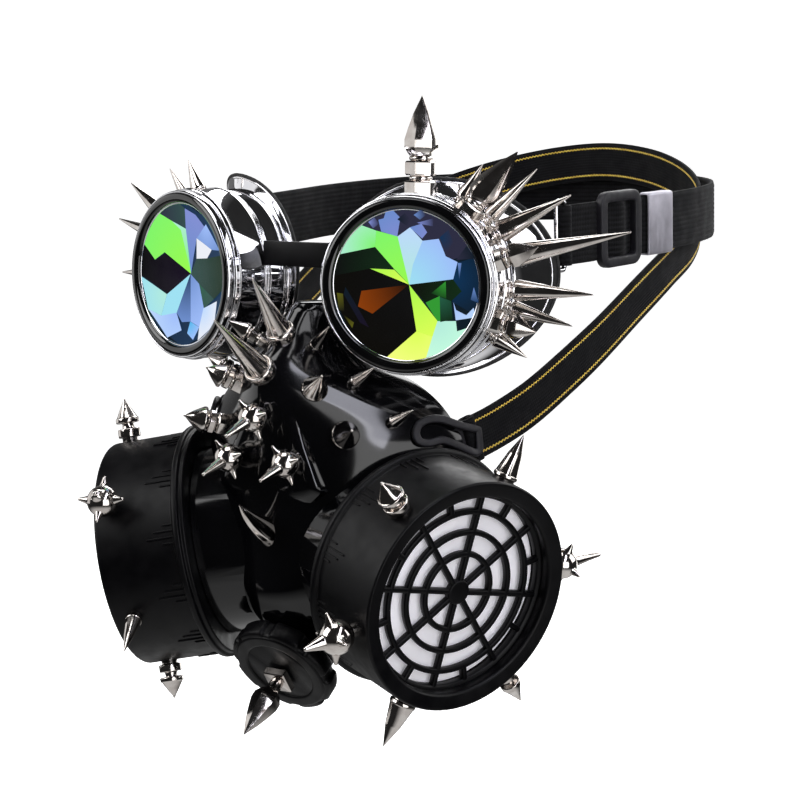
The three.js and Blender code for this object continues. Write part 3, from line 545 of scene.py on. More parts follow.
def bullet_stud(form, place, r, length, sunk, nuts=1):
    """Sharpened hexagonal head on one or two hexagonal nuts with rounded necks between."""
    nut, neck = 0.9 * r, 0.32 * r
    low = -sunk
    for i in range(nuts):
        top = (i + 1) * nut + i * neck
        hex_nut(form, place, r, low, top)
        turned(form, place, [
            (0, top - 0.2), (0.6 * r, top - 0.2), (0.74 * r, top + 0.3 * neck), (0.74 * r, top + 0.7 * neck),
            (0.6 * r, top + neck + 0.2), (0, top + neck + 0.2),
        ], 32, 0.3, 3)
        low = top + neck
    hex_head(form, place, r * 1.06, low, length)


def pin_stud(form, place, r, length, sunk):
    """Short cone with a skirt, on a thin neck and a round washer."""
    low, washer, skirt, cone = (share * length for share in (0.07, 0.28, 0.42, 0.53))
    bead = 0.1 * r
    turned(form, place, [
        (0, -sunk), (0.68 * r, -sunk), (0.68 * r, low), (0.93 * r, low + 0.1), (0.97 * r, low + 0.3),
        (0.97 * r, washer - 0.2), (0.9 * r, washer), (0.54 * r, washer + 0.1), (0.5 * r, skirt - 0.2),
        (0.92 * r, skirt - 0.1), (1.02 * r, skirt + 0.1), (r, cone), (0.9 * r, cone + 0.2),
        (0.48 * r, 0.5 * (length + cone)), (1.2 * bead, length - 2.2 * bead), (bead, length - bead),
        (0, length),
    ])


def cone_stud(form, place, r, length, sunk):
    """Long spike on a beaded neck and a square socket."""
    socket = rounded_box(1.7 * r, 1.7 * r, 0.3 * r, 2)
    form.add(stacked(socket, ((-sunk, 1), (0.3 * r, 1), (0.42 * r, 0.9))), place)
    turned(form, place, [
        *scaled(r, [(0, 0), (0.66, 0.3), (0.82, 0.5), (0.82, 0.68), (0.6, 0.8), (0.6, 0.9), (0.94, 0.98),
                    (1.02, 1.12), (1.02, 1.3)]),
        (0.51 * r + 0.12, 0.5 * (length + 1.3 * r)), (0.24, length - 0.3), (0, length),
    ])


def nose_stud(form, place, r, length, sunk):
    """Tall cone that stands in a domed washer."""
    turned(form, place, [
        (0, -sunk), (0.98 * r, -sunk),
        *scaled(r, [(1.04, 0.1), (1.02, 0.28), (0.95, 0.4), (0.88, 0.4), (0.85, 0.33), (0.84, 0.46)]),
        (0.43 * r + 0.1, 0.5 * (length + 0.46 * r)), (0.34, length - 0.6), (0.26, length - 0.14), (0, length),
    ])


def rimmed_stud(form, place, r, length, sunk):
    """Broad round cone with a flat rim and a beaded tip."""
    bead = 0.09 * r
    turned(form, place, [
        (0, -sunk), (0.8 * r, -sunk),
        *scaled(r, [(0.8, 0.05), (0.98, 0.08), (1.02, 0.18), (1, 0.34), (0.93, 0.42)]),
        (0.5 * r, 0.5 * (length + 0.42 * r)), (bead, length - 2.6 * bead), (1.2 * bead, length - 1.4 * bead),
        (0.9 * bead, length - 0.3 * bead), (0, length),
    ], 48)


def spire_stud(form, place, r, length, sunk):
    """Slender, slightly rounded cone on a low ring."""
    low = min(1.6, 0.12 * length)
    turned(form, place, [
        (0, -sunk), (0.86 * r, -sunk), (0.86 * r, 0.1 * low), (r, 0.25 * low), (r, low),
        (0.94 * r, low + 0.15), (0.56 * r + 0.1, 0.5 * (length + low)), (0.26, length - 0.5),
        (0.18, length - 0.12), (0, length),
    ])


def arrow_stud(form, place, radius, length, sunk):
    """Round cone with a rim, on a neck and two hexagonal nuts."""
    r = max(radius, 3.2)
    hex_nut(form, place, r * 0.86, -sunk, 0.2 * length)
    hex_nut(form, place, r * 0.92, 0.25 * length, 0.42 * length)
    bead = 0.1 * r
    turned(form, place, [
        (0, 0), (0.62 * r, 0.1 * length), (0.62 * r, 0.46 * length), (0.94 * r, 0.47 * length),
        (r, 0.5 * length), (0.96 * r, 0.55 * length), (0.5 * r, 0.78 * length), (bead, length - 2 * bead),
        (0.8 * bead, length - bead), (0, length),
    ])


def ball_stud(form, place, radius, length, sunk):
    """Ball on a short stem, with one long blunt arm straight out and four short arms round it."""
    r = radius * 1.15
    centre = r + 0.5
    arc = [(r * cos(a), centre + r * sin(a)) for a in np.linspace(-pi / 2, pi / 2, 19)]
    form.add(lathe([(0, arc[0][1]), *arc[1:-1], (0, arc[-1][1])], 36), place)
    stem = [(0, -sunk), (0.4 * r, -sunk), (0.34 * r, 0.4 * r), (0.34 * r, centre), (0, centre)]
    turned(form, place, stem, 24, 0.2)
    hub = place @ lifted(centre)
    reach, tip = length - centre, 0.15 * r
    turned(form, hub, [
        (0, 0.6 * r), (0.46 * r, 0.86 * r), (0.4 * r, 1.02 * r), (tip + 0.1 * r, 0.5 * (reach + r)),
        (tip, reach - 1.2 * tip), (0.8 * tip, reach - 0.3 * tip), (0, reach),
    ], 24, 0.4, 3)
    short_arm = scaled(r, [
        (0, 0.6), (0.32, 0.9), (0.24, 1.06), (0.15, 1.34), (0.11, 1.5), (0.07, 1.57), (0, 1.59),
    ])
    for i in range(4):
        angle = (i + 0.25) / 4 * TURN
        direction = (cos(angle), sin(angle), 0.22)
        turned(form, hub @ standing((0, 0, 0), direction), short_arm, 18, 0.35, 3)


STUD = {
    "cone": cone_stud, "pin": pin_stud, "spire": spire_stud, "rimmed": rimmed_stud, "nose": nose_stud,
    "ball": ball_stud, "bullet": bullet_stud, "arrow": arrow_stud,
}


# Goggles

def around(radius, degrees, depth, side):
    """Point at a radius, angle and depth round a local axis. On the right side the angle is mirrored."""
    angle = radians(degrees if side > 0 else 180 - degrees)
    return Vector((radius * cos(angle), radius * sin(angle), -depth))


def barrel(name, side, place):
    """Turned tube with a broad band between raised lines, a groove and a rear band, and its spikes."""
    tube = ring([
        (26.4, 3.3), (29.8, 3.3), (30.0, 3.5), (30.0, 4.9), (30.35, 5.0), (30.35, 5.5), (30.0, 5.6),
        (30.0, 15.9), (30.4, 16.0), (30.4, 16.6), (29.9, 16.7), (29.9, 17.2), (30.2, 17.3), (30.2, 17.9),
        (28.7, 18.1), (28.7, 18.7), (29.3, 18.9), (29.3, 24.8), (29.9, 25.0), (29.9, 26),
        (25, 26), (25, 6.2), (26.4, 6.2),
    ], 0.12, 2, 128)
    piece(f"barrel_{name}", Form().add(tube, place), [CHROME], [f"goggle_barrel_{name}"], sharp=55)
    spikes = Form()
    foot_radius = GOGGLE.bore + 1.5
    sunk = GOGGLE.band - 1 - foot_radius
    for row in SPIKES:
        tip_radius = getattr(row, name)
        if not tip_radius:
            continue
        foot = around(foot_radius, row.foot_angle, row.depth, side)
        reach = around(tip_radius, row.tip_angle, row.depth, side) - foot
        seat = foot + reach.normalized() * sunk
        extra = {"nuts": row.nuts} if row.nuts else {}
        STUD[row.kind](spikes, place @ standing(seat, reach), row.radius, reach.length - sunk, sunk, **extra)
    piece(f"barrel_spikes_{name}", spikes, [NICKEL])


def bezel(name, place):
    """Black rounded ring between a bright inner lip and a bright outer edge."""
    face = [
        (25.15, 1.3), (25.6, 0.5), (26.4, 0.1), (27.5, 0), (28.4, 0.25), (28.75, 0.7), (28.75, 3.0),
        (25.6, 3.0),
    ]
    inner = [(25.0, 1.9), (24.7, 1.8), (24.75, 1.5), (25.0, 1.25), (25.25, 1.2), (25.4, 1.35), (25.6, 1.9)]
    outer = [(28.65, 1.0), (28.75, 0.5), (29.0, 0.4), (29.3, 0.55), (29.5, 0.95), (29.5, 3.1), (28.65, 3.1)]
    form = Form().add(ring(face, 0.3, 3, 128), place)
    for bright in (inner, outer):
        form.add(ring(bright, 0.12, 2, 128), place, slot=1)
    piece(f"bezel_{name}", form, [ENAMEL, CHROME], [f"goggle_bezel_{name}"])


# Facet colours, as seen in studio light: the glass's own tints together with painted reflections of the lamps
# and the dark room
LENS_TINTS_AND_REFLECTIONS = {
    "ice": (0.74, 0.85, 0.99), "mint": (0.7, 0.92, 0.86), "leaf": (0.5, 0.96, 0.42),
    "lime": (0.66, 0.97, 0.3), "yellow": (0.86, 1.0, 0.34), "cream": (0.97, 1.0, 0.52),
    "pale": (0.78, 1.0, 0.88), "amber": (0.54, 0.24, 0.04), "ink": (0.06, 0.06, 0.065),
    "forest": (0.07, 0.17, 0.09), "green": (0.2, 0.6, 0.2), "teal": (0.14, 0.36, 0.27),
    "navy": (0.06, 0.2, 0.34), "periwinkle": (0.5, 0.55, 0.82), "slate": (0.18, 0.18, 0.26),
    "sky": (0.62, 0.74, 0.98), "cyan": (0.3, 0.72, 0.93), "white": (0.92, 0.93, 0.96),
    "umber": (0.05, 0.045, 0.03), "plum": (0.1, 0.07, 0.14), "deep": (0.06, 0.11, 0.15),
    "royal": (0.42, 0.55, 0.8), "sea": (0.18, 0.3, 0.29), "olive": (0.36, 0.36, 0.1),
    "neon": (0.6, 0.98, 0.3), "aqua": (0.62, 0.88, 0.95),
}
# One row a facet: the tints at its first corner and at the others, and its corners in hundredths of the lens
# radius. Each facet is a painted reflection over the glass's own tints, shaded from corner to corner.
FACET_REFLECTION_CHART = {
    "left": [
        ("ink", "umber", [(0, 0), (-50, 20), (-97, 36), (-100, -10), (-72, -70), (-28, -96), (13, -60)]),
        ("slate", "slate", [(-20, 62), (-64, 77), (-30, 95), (0, 100), (50, 86), (90, 44), (60, 34)]),
        ("navy", "deep", [(60, 10), (66, 30), (92, 38), (100, 0), (94, -36), (80, -30), (60, -20)]),
        ("forest", "ink", [(-20, 20), (-43, 48), (-95, 37), (-97, 10), (-50, 20)]),
        ("olive", "ink", [(-93, -12), (-85, -13), (-83, -36), (-90, -34)]),
        ("ink", "olive", [(-84, -40), (-70, -50), (-72, -57)]),
        ("deep", "plum", [(-82, -4), (-50, -56), (-62, -50), (-84, -14)]),
        ("neon", "leaf", [(0, 0), (-19, 20), (-43, 48), (-41, 69), (-13, 62)]),
        ("leaf", "mint", [(-43, 48), (-41, 69), (-64, 77), (-93, 37)]),
        ("mint", "ice", [(0, 0), (-13, 62), (4, 74), (20, 57), (6, 26)]),
        ("aqua", "sky", [(0, 0), (6, 26), (20, 57), (42, 60), (51, 38), (67, 31), (61, 9)]),
        ("yellow", "lime", [(0, 0), (-50, 20), (-19, 19)]),
        ("umber", "amber", [(0, 0), (-61, -9), (-65, -29), (-46, -38), (-40, -33)]),
        ("lime", "yellow", [(0, 0), (13, -59), (35, -65), (41, -45)]),
        ("yellow", "cream", [(13, -59), (-27, -95), (2, -99), (27, -95), (35, -65)]),
        ("mint", "pale", [(41, -45), (35, -65), (27, -95), (62, -77), (82, -52), (68, -57),
                          (66, -44)]),
        ("umber", "forest", [(0, 0), (50, 7), (61, 9), (73, -6), (59, -19), (24, -22)]),
        ("green", "forest", [(51, 6), (31, -10), (52, -16)]),
        ("green", "green", [(24, -22), (43, -13), (45, -45), (41, -45)]),
        ("teal", "forest", [(43, -14), (59, -19), (62, -42), (45, -46)]),
        ("sky", "ice", [(62, -20), (66, -30), (80, -36), (90, -26), (93, -38), (66, -43)]),
        ("periwinkle", "royal", [(-13, 62), (-34, 68), (-37, 83), (-30, 85), (-26, 96), (-18, 96),
                                 (-8, 86)]),
        ("royal", "periwinkle", [(4, 74), (20, 79), (27, 68), (20, 60)]),
        ("periwinkle", "slate", [(14, 80), (36, 86), (35, 76), (22, 78)]),
        ("royal", "slate", [(10, 90), (20, 97), (26, 90), (18, 84)]),
        ("deep", "slate", [(-12, 84), (-2, 92), (6, 84), (0, 76)]),
        ("periwinkle", "slate", [(-50, 80), (-42, 86), (-36, 78), (-44, 72)]),
        ("navy", "slate", [(44, 62), (56, 72), (62, 56), (52, 42)]),
        ("slate", "deep", [(66, 34), (80, 52), (92, 36)]),
        ("royal", "navy", [(68, 30), (70, 8), (73, 30)]),
        ("royal", "navy", [(90, 0), (97, -20), (86, -16)]),
    ],
    "right": [
        ("deep", "navy", [(-100, 0), (-70, 72), (0, 100), (70, 72), (100, 0), (70, -72), (0, -100),
                          (-70, -72)]),
        ("plum", "ink", [(0, 0), (-46, 28), (-70, 16), (-92, 40), (-99, -5), (-44, -30)]),
        ("neon", "leaf", [(0, 0), (-50, 28), (-70, 17), (-92, 40), (-59, 84), (-28, 72), (-10, 60)]),
        ("leaf", "mint", [(0, 0), (-10, 60), (-28, 72), (2, 62)]),
        ("slate", "sea", [(-59, 84), (-10, 99), (10, 88), (2, 62), (-28, 72)]),
        ("royal", "periwinkle", [(0, 0), (2, 62), (6, 90), (30, 82), (50, 66), (26, 50), (12, 24)]),
        ("sky", "royal", [(54, 70), (86, 36), (64, 36), (26, 50)]),
        ("white", "white", [(26, 50), (64, 36), (50, 24), (20, 22)]),
        ("sea", "forest", [(0, 0), (20, 22), (50, 24), (92, 30), (97, -14), (70, -30), (26, -12)]),
        ("teal", "sea", [(26, -12), (70, -30), (44, -44)]),
        ("royal", "sky", [(0, 0), (26, -12), (44, -44), (38, -70), (14, -64)]),
        ("navy", "royal", [(0, 0), (14, -64), (-6, -66), (-20, -54)]),
        ("aqua", "aqua", [(0, 0), (-44, -30), (-52, -60), (-20, -54)]),
        ("mint", "aqua", [(-44, -30), (-97, -7), (-80, -52), (-52, -60)]),
        ("sky", "ice", [(-20, -54), (-52, -60), (-80, -52), (-34, -89), (-4, -77)]),
        ("cyan", "sky", [(14, -64), (38, -70), (26, -88), (10, -80)]),
        ("ice", "white", [(44, -44), (80, -32), (76, -64), (38, -88), (38, -70)]),
    ],
}


def facet_triangles(corners, limit=0.1):
    """Small triangles that fill a facet, so that it follows the hollow of the lens."""
    flat = [Vector((x, y, 0)) for x, y in corners]
    queue = [[corners[i] for i in tri] for tri in tessellate_polygon([flat])]
    done = []
    while queue:
        a, b, c = queue.pop()
        sides = [dist(a, b), dist(b, c), dist(c, a)]
        longest = sides.index(max(sides))
        if sides[longest] <= limit:
            done.append((a, b, c))
            continue
        a, b, c = [(a, b, c), (b, c, a), (c, a, b)][longest]
        middle = ((a[0] + b[0]) / 2, (a[1] + b[1]) / 2)
        queue += [(a, middle, c), (middle, b, c)]
    return done


def lens(name, place):
    """Cut-glass dish: coloured facets, glowing with painted reflections, that fall to a point at the middle,
    over a dark backing.
    """
    radius = GOGGLE.lens_radius
    rim_depth, apex_depth, layer_step = 1.9, 6.0, 0.035

    def spot(x, y, lift):
        share = min(1.0, hypot(x, y))
        depth = rim_depth + (apex_depth - rim_depth) * (1 - share)
        return (x * radius, y * radius, lift - depth)

    back = [(radius, 5.5), (24.0, 6.2), (13.5, 8.3), (0, 9.9)]
    dish = below([(0, apex_depth + 0.5), (radius, rim_depth + 0.5), *back])
    form = Form().add(lathe(dish, 32), place)
    tints = [linear(LENS_TINTS_AND_REFLECTIONS["deep"])] * len(form.points)
    for layer, (first, others, chart) in enumerate(FACET_REFLECTION_CHART[name]):
        corners = [(x / 100, y / 100) for x, y in chart]
        start, end = np.array(linear(LENS_TINTS_AND_REFLECTIONS[first])), np.array(linear(LENS_TINTS_AND_REFLECTIONS[others]))
        reach = max(dist(corners[0], corner) for corner in corners)
        for triangle in facet_triangles(corners):
            form.add(([spot(x, y, layer_step * layer) for x, y in triangle], [(0, 1, 2)]), place)
            # Painted reflection: each facet shades from its first corner's tint towards the other tint
            shares = [dist(corners[0], corner) / reach for corner in triangle]
            tints += [tuple(start + (end - start) * share) for share in shares]
    obj = piece(f"lens_{name}", form, [GLOWING_FACETS], [f"goggle_lens_{name}"], sharp=1.0)
    colours = obj.data.color_attributes.new("facet", "FLOAT_COLOR", "POINT")
    colours.data.foreach_set("color", [value for tint in tints for value in (*tint, 1)])


def cup_point(blend, angle, inset, side):
    """Point of the cup: a tube behind the barrel that flares late into an oval rim along the temple."""
    throat = CUP.throat - inset
    across = CUP.across + (CUP.half_width - inset) * cos(angle)
    upwards = CUP.up + (CUP.half_height - inset) * sin(angle)
    depth = CUP.nose_depth + CUP.temple_curve * max(0.0, across - CUP.curve_start) ** 2
    flare = blend**2.4
    x = throat * cos(angle) * (1 - flare) + across * flare
    y = throat * sin(angle) * (1 - flare) + upwards * flare
    return Vector((side * x, y, -(CUP.start * (1 - blend) + depth * blend)))


def cup(name, side, place):
    angles = [i / 96 * TURN for i in range(96)]
    blends = np.linspace(0, 1, 21)
    rings = [[cup_point(b, a, 0, side) for a in angles] for b in blends]
    rings += [[cup_point(b, a, CUP.wall, side) for a in angles] for b in reversed(blends)]
    form = Form().add(loft(rings, wrap=True), place)
    outside = len(angles) * (len(blends) - 1)
    form.slots = [0 if i < outside else 1 for i in range(len(form.faces))]
    for slot, size, share in ((1, 0.6, 1.0), (0, 0.5, 0.93)):
        bead = []
        for angle in angles:
            rim, inner = cup_point(share, angle, 0.1, side), cup_point(share, angle, 1.6, side)
            out = (rim - inner).normalized()
            bead.append([rim + out * u - UP * v for u, v in circle(size, 10)])
        form.add(loft(bead, wrap=True), place, slot=slot)
    piece(f"cup_{name}", form, [CHROME, LINING], [f"goggle_cup_{name}"], sharp=50)


def bridge():
    """Flat strip bowed forwards between the barrels."""
    b = BRIDGE
    section = rounded_box(b.thick, b.height, 0.5)
    rings = []
    for t in np.linspace(-1, 1, 25):
        y = b.front + b.thick / 2 - b.bow * 0.5 * (1 - t * t)
        centre = Vector((b.half * t, y, b.bottom + b.height / 2))
        rings.append([centre + Vector((0, u, v)) for u, v in section])
    piece("bridge_strip", Form().add(loft(rings)), [SATIN], ["goggle_bridge"])


# Straps

def strap_frames(half, back, count):
    """Even points of a strap's route, each with its direction, outward side, upper edge and distance."""
    points, stops = spline([*half, back, *[(-x, y, z) for x, y, z in reversed(half)]], count)
    frames = []
    for point, direction, stop in zip(points, np.gradient(points, axis=0), stops):
        along = Vector(direction).normalized()
        level = Vector((along.y, -along.x, 0)).normalized()
        across = level.cross(along).normalized()
        frames.append((Vector(point), along, along.cross(across).normalized(), across, float(stop)))
    return frames


def ribbon_section(width, half_thick, ribs, rib_height):
    """Section of (out, across) pairs: a ribbed face, rounded edges and a plain back."""
    count = ribs * 6
    face = []
    for k in range(count + 1):
        share = k / count * 2 - 1
        ridge = abs(cos(k / count * ribs * pi))
        edge = min(1.0, (1 - abs(share)) * ribs)
        face.append((half_thick * (0.55 + 0.45 * edge) - rib_height * (1 - ridge), -share * width / 2))
    across = (-1, -0.96, -0.5, 0, 0.5, 0.96, 1)
    back = [(-half_thick * (0.6 if abs(v) == 1 else 1.0), v * width / 2) for v in across]
    return face + back


def ribbon(frames, section, place=None, wave=lambda distance: 0.0):
    """Band along the frames, which keeps each point's distance along and across. A wave lifts it outwards."""
    rings, along, across = [], [], []
    for point, _, out, edge, stop in frames:
        centre = point + out * wave(stop)
        rings.append([centre + out * u + edge * v for u, v in section])
        along += [stop] * len(section)
        across += [v for _, v in section]
    form = Form().add(loft(rings), place)
    form.measures = {"along": along, "across": across}
    return form


ELASTIC_PLACE = lifted(ELASTIC.level) @ Matrix.Rotation(atan(ELASTIC.slope), 4, "X")


def elastic_at(distance):
    """Point of the goggles' elastic nearest to a distance along it, with its direction and outward side."""
    frames = strap_frames(ELASTIC_HALF, ELASTIC_BACK, 600)
    return min(frames, key=lambda f: abs(f[4] - distance))[:3]


def slider_wave(distance):
    """How far the elastic stands out where it weaves through the slider's bars."""
    gap = distance - ELASTIC.slider_at
    return 3.2 * exp(-((gap / 5.0) ** 2)) - 2.0 * exp(-((gap / 13.0) ** 4))


def goggle_strap():
    """Ribbed elastic, with a sleeve round the wire loop at each end."""
    half = ELASTIC.width / 2
    section = ribbon_section(ELASTIC.width, ELASTIC.thick / 2, 12, 0.22)
    frames = strap_frames(ELASTIC_HALF, ELASTIC_BACK, 260)
    form = ribbon(frames, section, ELASTIC_PLACE, slider_wave)
    x, y, _ = ELASTIC_HALF[0]
    outline = [(1.9, -half), (2.7, -half), (2.8, 0.5 - half), (2.8, half - 0.5), (2.7, half), (1.9, half)]
    sleeve = lathe(outline, 32, closed=True)
    for _, side in SIDES:
        form.add(sleeve, ELASTIC_PLACE @ Matrix.Translation((side * x, y, 0)))
        form.measures["along"] += range(len(sleeve[0]))
        form.measures["across"] += [p[2] for p in sleeve[0]]
    piece("elastic_band", form, [RIBBED], ["goggle_strap"], sharp=60)


def slider():
    """Moulded three-bar slider that the elastic weaves through."""
    s, width = SLIDER, ELASTIC.width
    point, along, out = elastic_at(ELASTIC.slider_at)
    place = ELASTIC_PLACE @ basis(point + out * s.proud, along, UP, along.cross(UP))
    path = [Vector((*p, 0)) for p in rounded_box(s.length, width + s.past_edges, s.corner, 6)]
    form = Form().add(swept(path, rounded_box(*s.rim, 0.9), [UP] * len(path)), place)
    bar = rounded_box(*s.bar, 0.7)
    ends = np.linspace(-width / 2, width / 2, 5)
    form.add(loft([[Vector((u, z, v - s.bar_drop)) for u, v in bar] for z in ends]), place)
    piece("slider_frame", form, [MOULDED], ["strap_slider"])


def clip():
    """Folded sheet clip closed round the elastic."""
    point, along, out = elastic_at(ELASTIC.clip_at)
    place = ELASTIC_PLACE @ basis(point, along, out, along.cross(out))
    half, outer, inner = CLIP.half_length, rounded_box(*CLIP.outer, 1.1, 4), rounded_box(*CLIP.inner, 0.6, 4)
    stations = [
        (-half + 0.3, outer, 0.97), (-half, outer, 0.9), (-half, inner, 1.0), (half, inner, 1.0),
        (half, outer, 0.9), (half - 0.3, outer, 0.97), (half - 0.9, outer, 1.0), (0, outer, 1.0),
        (-half + 0.9, outer, 1.0),
    ]
    rings = [[Vector((x, u * share, v * (1 + share) / 2)) for u, v in edge] for x, edge, share in stations]
    piece("clip_fold", Form().add(loft(rings, wrap=True), place), [BRUSHED], ["strap_clip"], sharp=30)


def loops():
    """Round wire bent into a rectangle at each temple."""
    x, y, _ = ELASTIC_HALF[0]
    path = [Vector((u, 0, v)) for u, v in rounded_box(LOOP.length, LOOP.height, 1.6, 6)]
    wire = swept(path, circle(LOOP.wire, 12), [Vector((0, 1, 0))] * len(path))
    for name, side in SIDES:
        turn = Matrix.Rotation(atan2(1, side * LOOP.lean), 4, "Z")
        spot = Matrix.Translation((side * (x - LOOP.to_middle * LOOP.lean), y - LOOP.to_middle, 0))
        form = Form().add(wire, ELASTIC_PLACE @ spot @ turn)
        piece(f"loop_wire_{name}", form, [CHROME], [f"strap_loop_{name}"])


MASK_STRAP_FRAMES = strap_frames(STRAP_HALF, STRAP_BACK, 240)


def mask_strap():
    """Flat elastic, folded back round the lug at each end."""
    half = MASK_STRAP.width / 2
    form = ribbon(MASK_STRAP_FRAMES, ribbon_section(MASK_STRAP.width, MASK_STRAP.thick / 2, 16, 0.07))
    fold, hole = rounded_box(5.4, 3.8, 1.6, 5), rounded_box(3.4, 2.4, 1.0, 5)
    spans = [(-half, fold), (half, fold), (half, hole), (-half, hole)]
    for point, along, out, across, _ in (MASK_STRAP_FRAMES[0], MASK_STRAP_FRAMES[-1]):
        rings = [[point + along * u + out * w + across * v for u, w in edge] for v, edge in spans]
        form.add(loft(rings, wrap=True))
        for v, edge in spans:
            form.measures["along"] += [u for u, _ in edge]
            form.measures["across"] += [v] * len(edge)
    piece("respirator_strap", form, [FLAT_WEB], ["mask_strap"], sharp=60)


def zigzag():
    """Two zigzag seams of yellow thread along the respirator's strap, on both faces."""
    frames = strap_frames(STRAP_HALF, STRAP_BACK, 760)[4:-4]
    face, sway = MASK_STRAP.thick / 2 - 0.02, 0.28
    section = [(0.28 * u, 0.2 * v) for u, v in circle(1, 6)]
    form = Form()
    for row in (MASK_STRAP.stitch_half, -MASK_STRAP.stitch_half):
        for side in (1, -1):
            outs = [out * side for _, _, out, _, _ in frames]
            path = [point + across * (row + (sway if i % 2 else -sway)) + outs[i] * face
                    for i, (point, _, _, across, _) in enumerate(frames)]
            form.add(swept(path, section, outs, closed=False))
    piece("strap_stitches", form, [THREAD], sharp=70)


def strap_lug(name, side):
    """Moulded loop on the cheek that carries the strap's end, on a tab of the shell."""
    flip = Vector((side, 1, 1))
    path, _ = spline([*LUG_LOOP, LUG_LOOP[0]], 61)
    path = [Vector(p) * flip for p in path[:-1]]
    out = (Vector(LUG.outward) * flip).normalized()
    form = Form().add(swept(path, rounded_box(*LUG.section, 0.8), [out] * len(path)))
    point, along, outward, across, _ = MASK_STRAP_FRAMES[0 if side > 0 else -1]
    tab = rounded_box(*LUG.tab, 1.4, 4)
    base = point - along * (LUG.tab_ahead * side)
    rows = [(base - outward * d, 1 + 0.05 * d) for d in (-0.6, 0.5, 2.0, 4.0, 6.0)]
    rings = [[centre + along * (u * grow) + across * (v * grow) for u, v in tab] for centre, grow in rows]
    form.add(loft(rings))
    piece(f"lug_{name}", form, [MOULDED], [f"strap_lug_{name}"])


# Respirator

def level_rows(count):
    """Levels of the shell, smoothly filled in between the rows of the table."""
    heights = LEVELS[:, 0]
    slopes = np.gradient(LEVELS, heights, axis=0)
    rows = []
    for z in np.linspace(heights[0], heights[-1], count):
        i = int(np.clip(np.searchsorted(-heights, -z, side="right") - 1, 0, len(heights) - 2))
        span = heights[i + 1] - heights[i]
        share = (z - heights[i]) / span
        row = hermite(share, LEVELS[i], span * slopes[i], LEVELS[i + 1], span * slopes[i + 1])
        rows.append((z, *row[1:]))
    return rows


def shell_outline(row, grow, back):
    z, front, rim, half_width, bend = row
    width, depth = half_width + grow, rim - front + grow
    points = []
    for angle in np.linspace(-pi / 2, pi / 2, 73):
        sine = sin(angle)
        x = width * copysign(abs(sine) ** (2 / bend), sine)
        points.append(Vector((x, rim - depth * max(0.0, cos(angle)) ** (2 / bend), z)))
    if back:
        points += [Vector((width, rim + back, z)), Vector((-width, rim + back, z))]
    return points


def shell_solid(grow, back):
    """Shell filled, with a rounded top edge; grow moves its outside, back carries its open side further."""
    rows = level_rows(120)
    top = rows[0]
    rings = [shell_outline((top[0] + grow - drop, *top[1:]), grow - inset, back)
             for drop, inset in ((0, 1.5), (0.3, 0.7), (0.9, 0.15))]
    rings += [shell_outline(row, grow, back) for row in rows if row[0] < top[0] + grow - 1.5]
    rings[-1] = [p - UP * grow for p in rings[-1]]
    return loft(rings)


def front_panel():
    """Low plate on the front of the shell, with sloping sides and a rounded edge."""
    right = eased(PANEL, 1.5)
    outline = [(x, z) for x, z in right] + [(-x, z) for x, z in reversed(right)]
    middle = sum(z for _, z in outline) / len(outline)
    rows = ((-36, -2.8), (-44.0, -2.0), (-45.0, -0.8), (-45.6, 0.6), (-46.0, 2.0), (-46.2, 3.4), (-46.3, 6))
    rings = []
    for y, inset in rows:
        share = 1 - inset / 16
        rings.append([Vector((x * share, y, middle + (z - middle) * share)) for x, z in outline])
    return loft(rings)


def canister_place(side):
    return facing(CANISTER.front, CANISTER.splay, CANISTER.droop, side)


VALVE_PLACE = facing(VALVE.centre, 0, VALVE.lean)


def rod(radius, start, end):
    return lathe(below([(0, end), (radius, end), (radius, start), (0, start)]), 72)


def raw_object(name, shape, place=None):
    """Bare mesh object in millimetres, for joining and cutting."""
    form = Form().add(shape, place)
    return linked(name, solid_mesh(name, form.points, form.faces))


def cut_and_join(body, steps):
    """Applies (operation, shape, place) steps to a body in turn and returns its points and faces."""
    for operation, shape, place in steps:
        other = raw_object("cutter", shape, place)
        change = body.modifiers.new("change", "BOOLEAN")
        change.operation = operation
        change.solver = "MANIFOLD"
        change.object = other
        bpy.context.view_layer.update()
        result = bpy.data.meshes.new_from_object(body.evaluated_get(bpy.context.evaluated_depsgraph_get()))
        body.modifiers.clear()
        body.data = result
        bpy.data.objects.remove(other)
    points = [v.co.copy() for v in body.data.vertices]
    faces = [tuple(p.vertices) for p in body.data.polygons]
    bpy.data.objects.remove(body)
    return points, faces


def mask_shell():
    rear = CANISTER.depth + GAP
    ports = [canister_place(side) for _, side in SIDES]
    steps = [
        ("UNION", front_panel(), None),
        *[("UNION", rod(SHELL.port, rear, rear + SHELL.port_length), place) for place in ports],
        ("UNION", rod(VALVE.neck, 0, VALVE.neck_length), VALVE_PLACE),
        ("DIFFERENCE", shell_solid(-SHELL.wall, back=40), None),
        *[("DIFFERENCE", rod(SHELL.port_bore, rear - 1, rear + 20), place) for place in ports],
        ("DIFFERENCE", rod(VALVE.neck_bore, -1, VALVE.neck_length - 1), VALVE_PLACE),
    ]
    shape = cut_and_join(raw_object("shell_body", shell_solid(0, back=0)), steps)
    piece("respirator_shell", Form().add(shape), [PVC], ["mask_shell"], sharp=42)


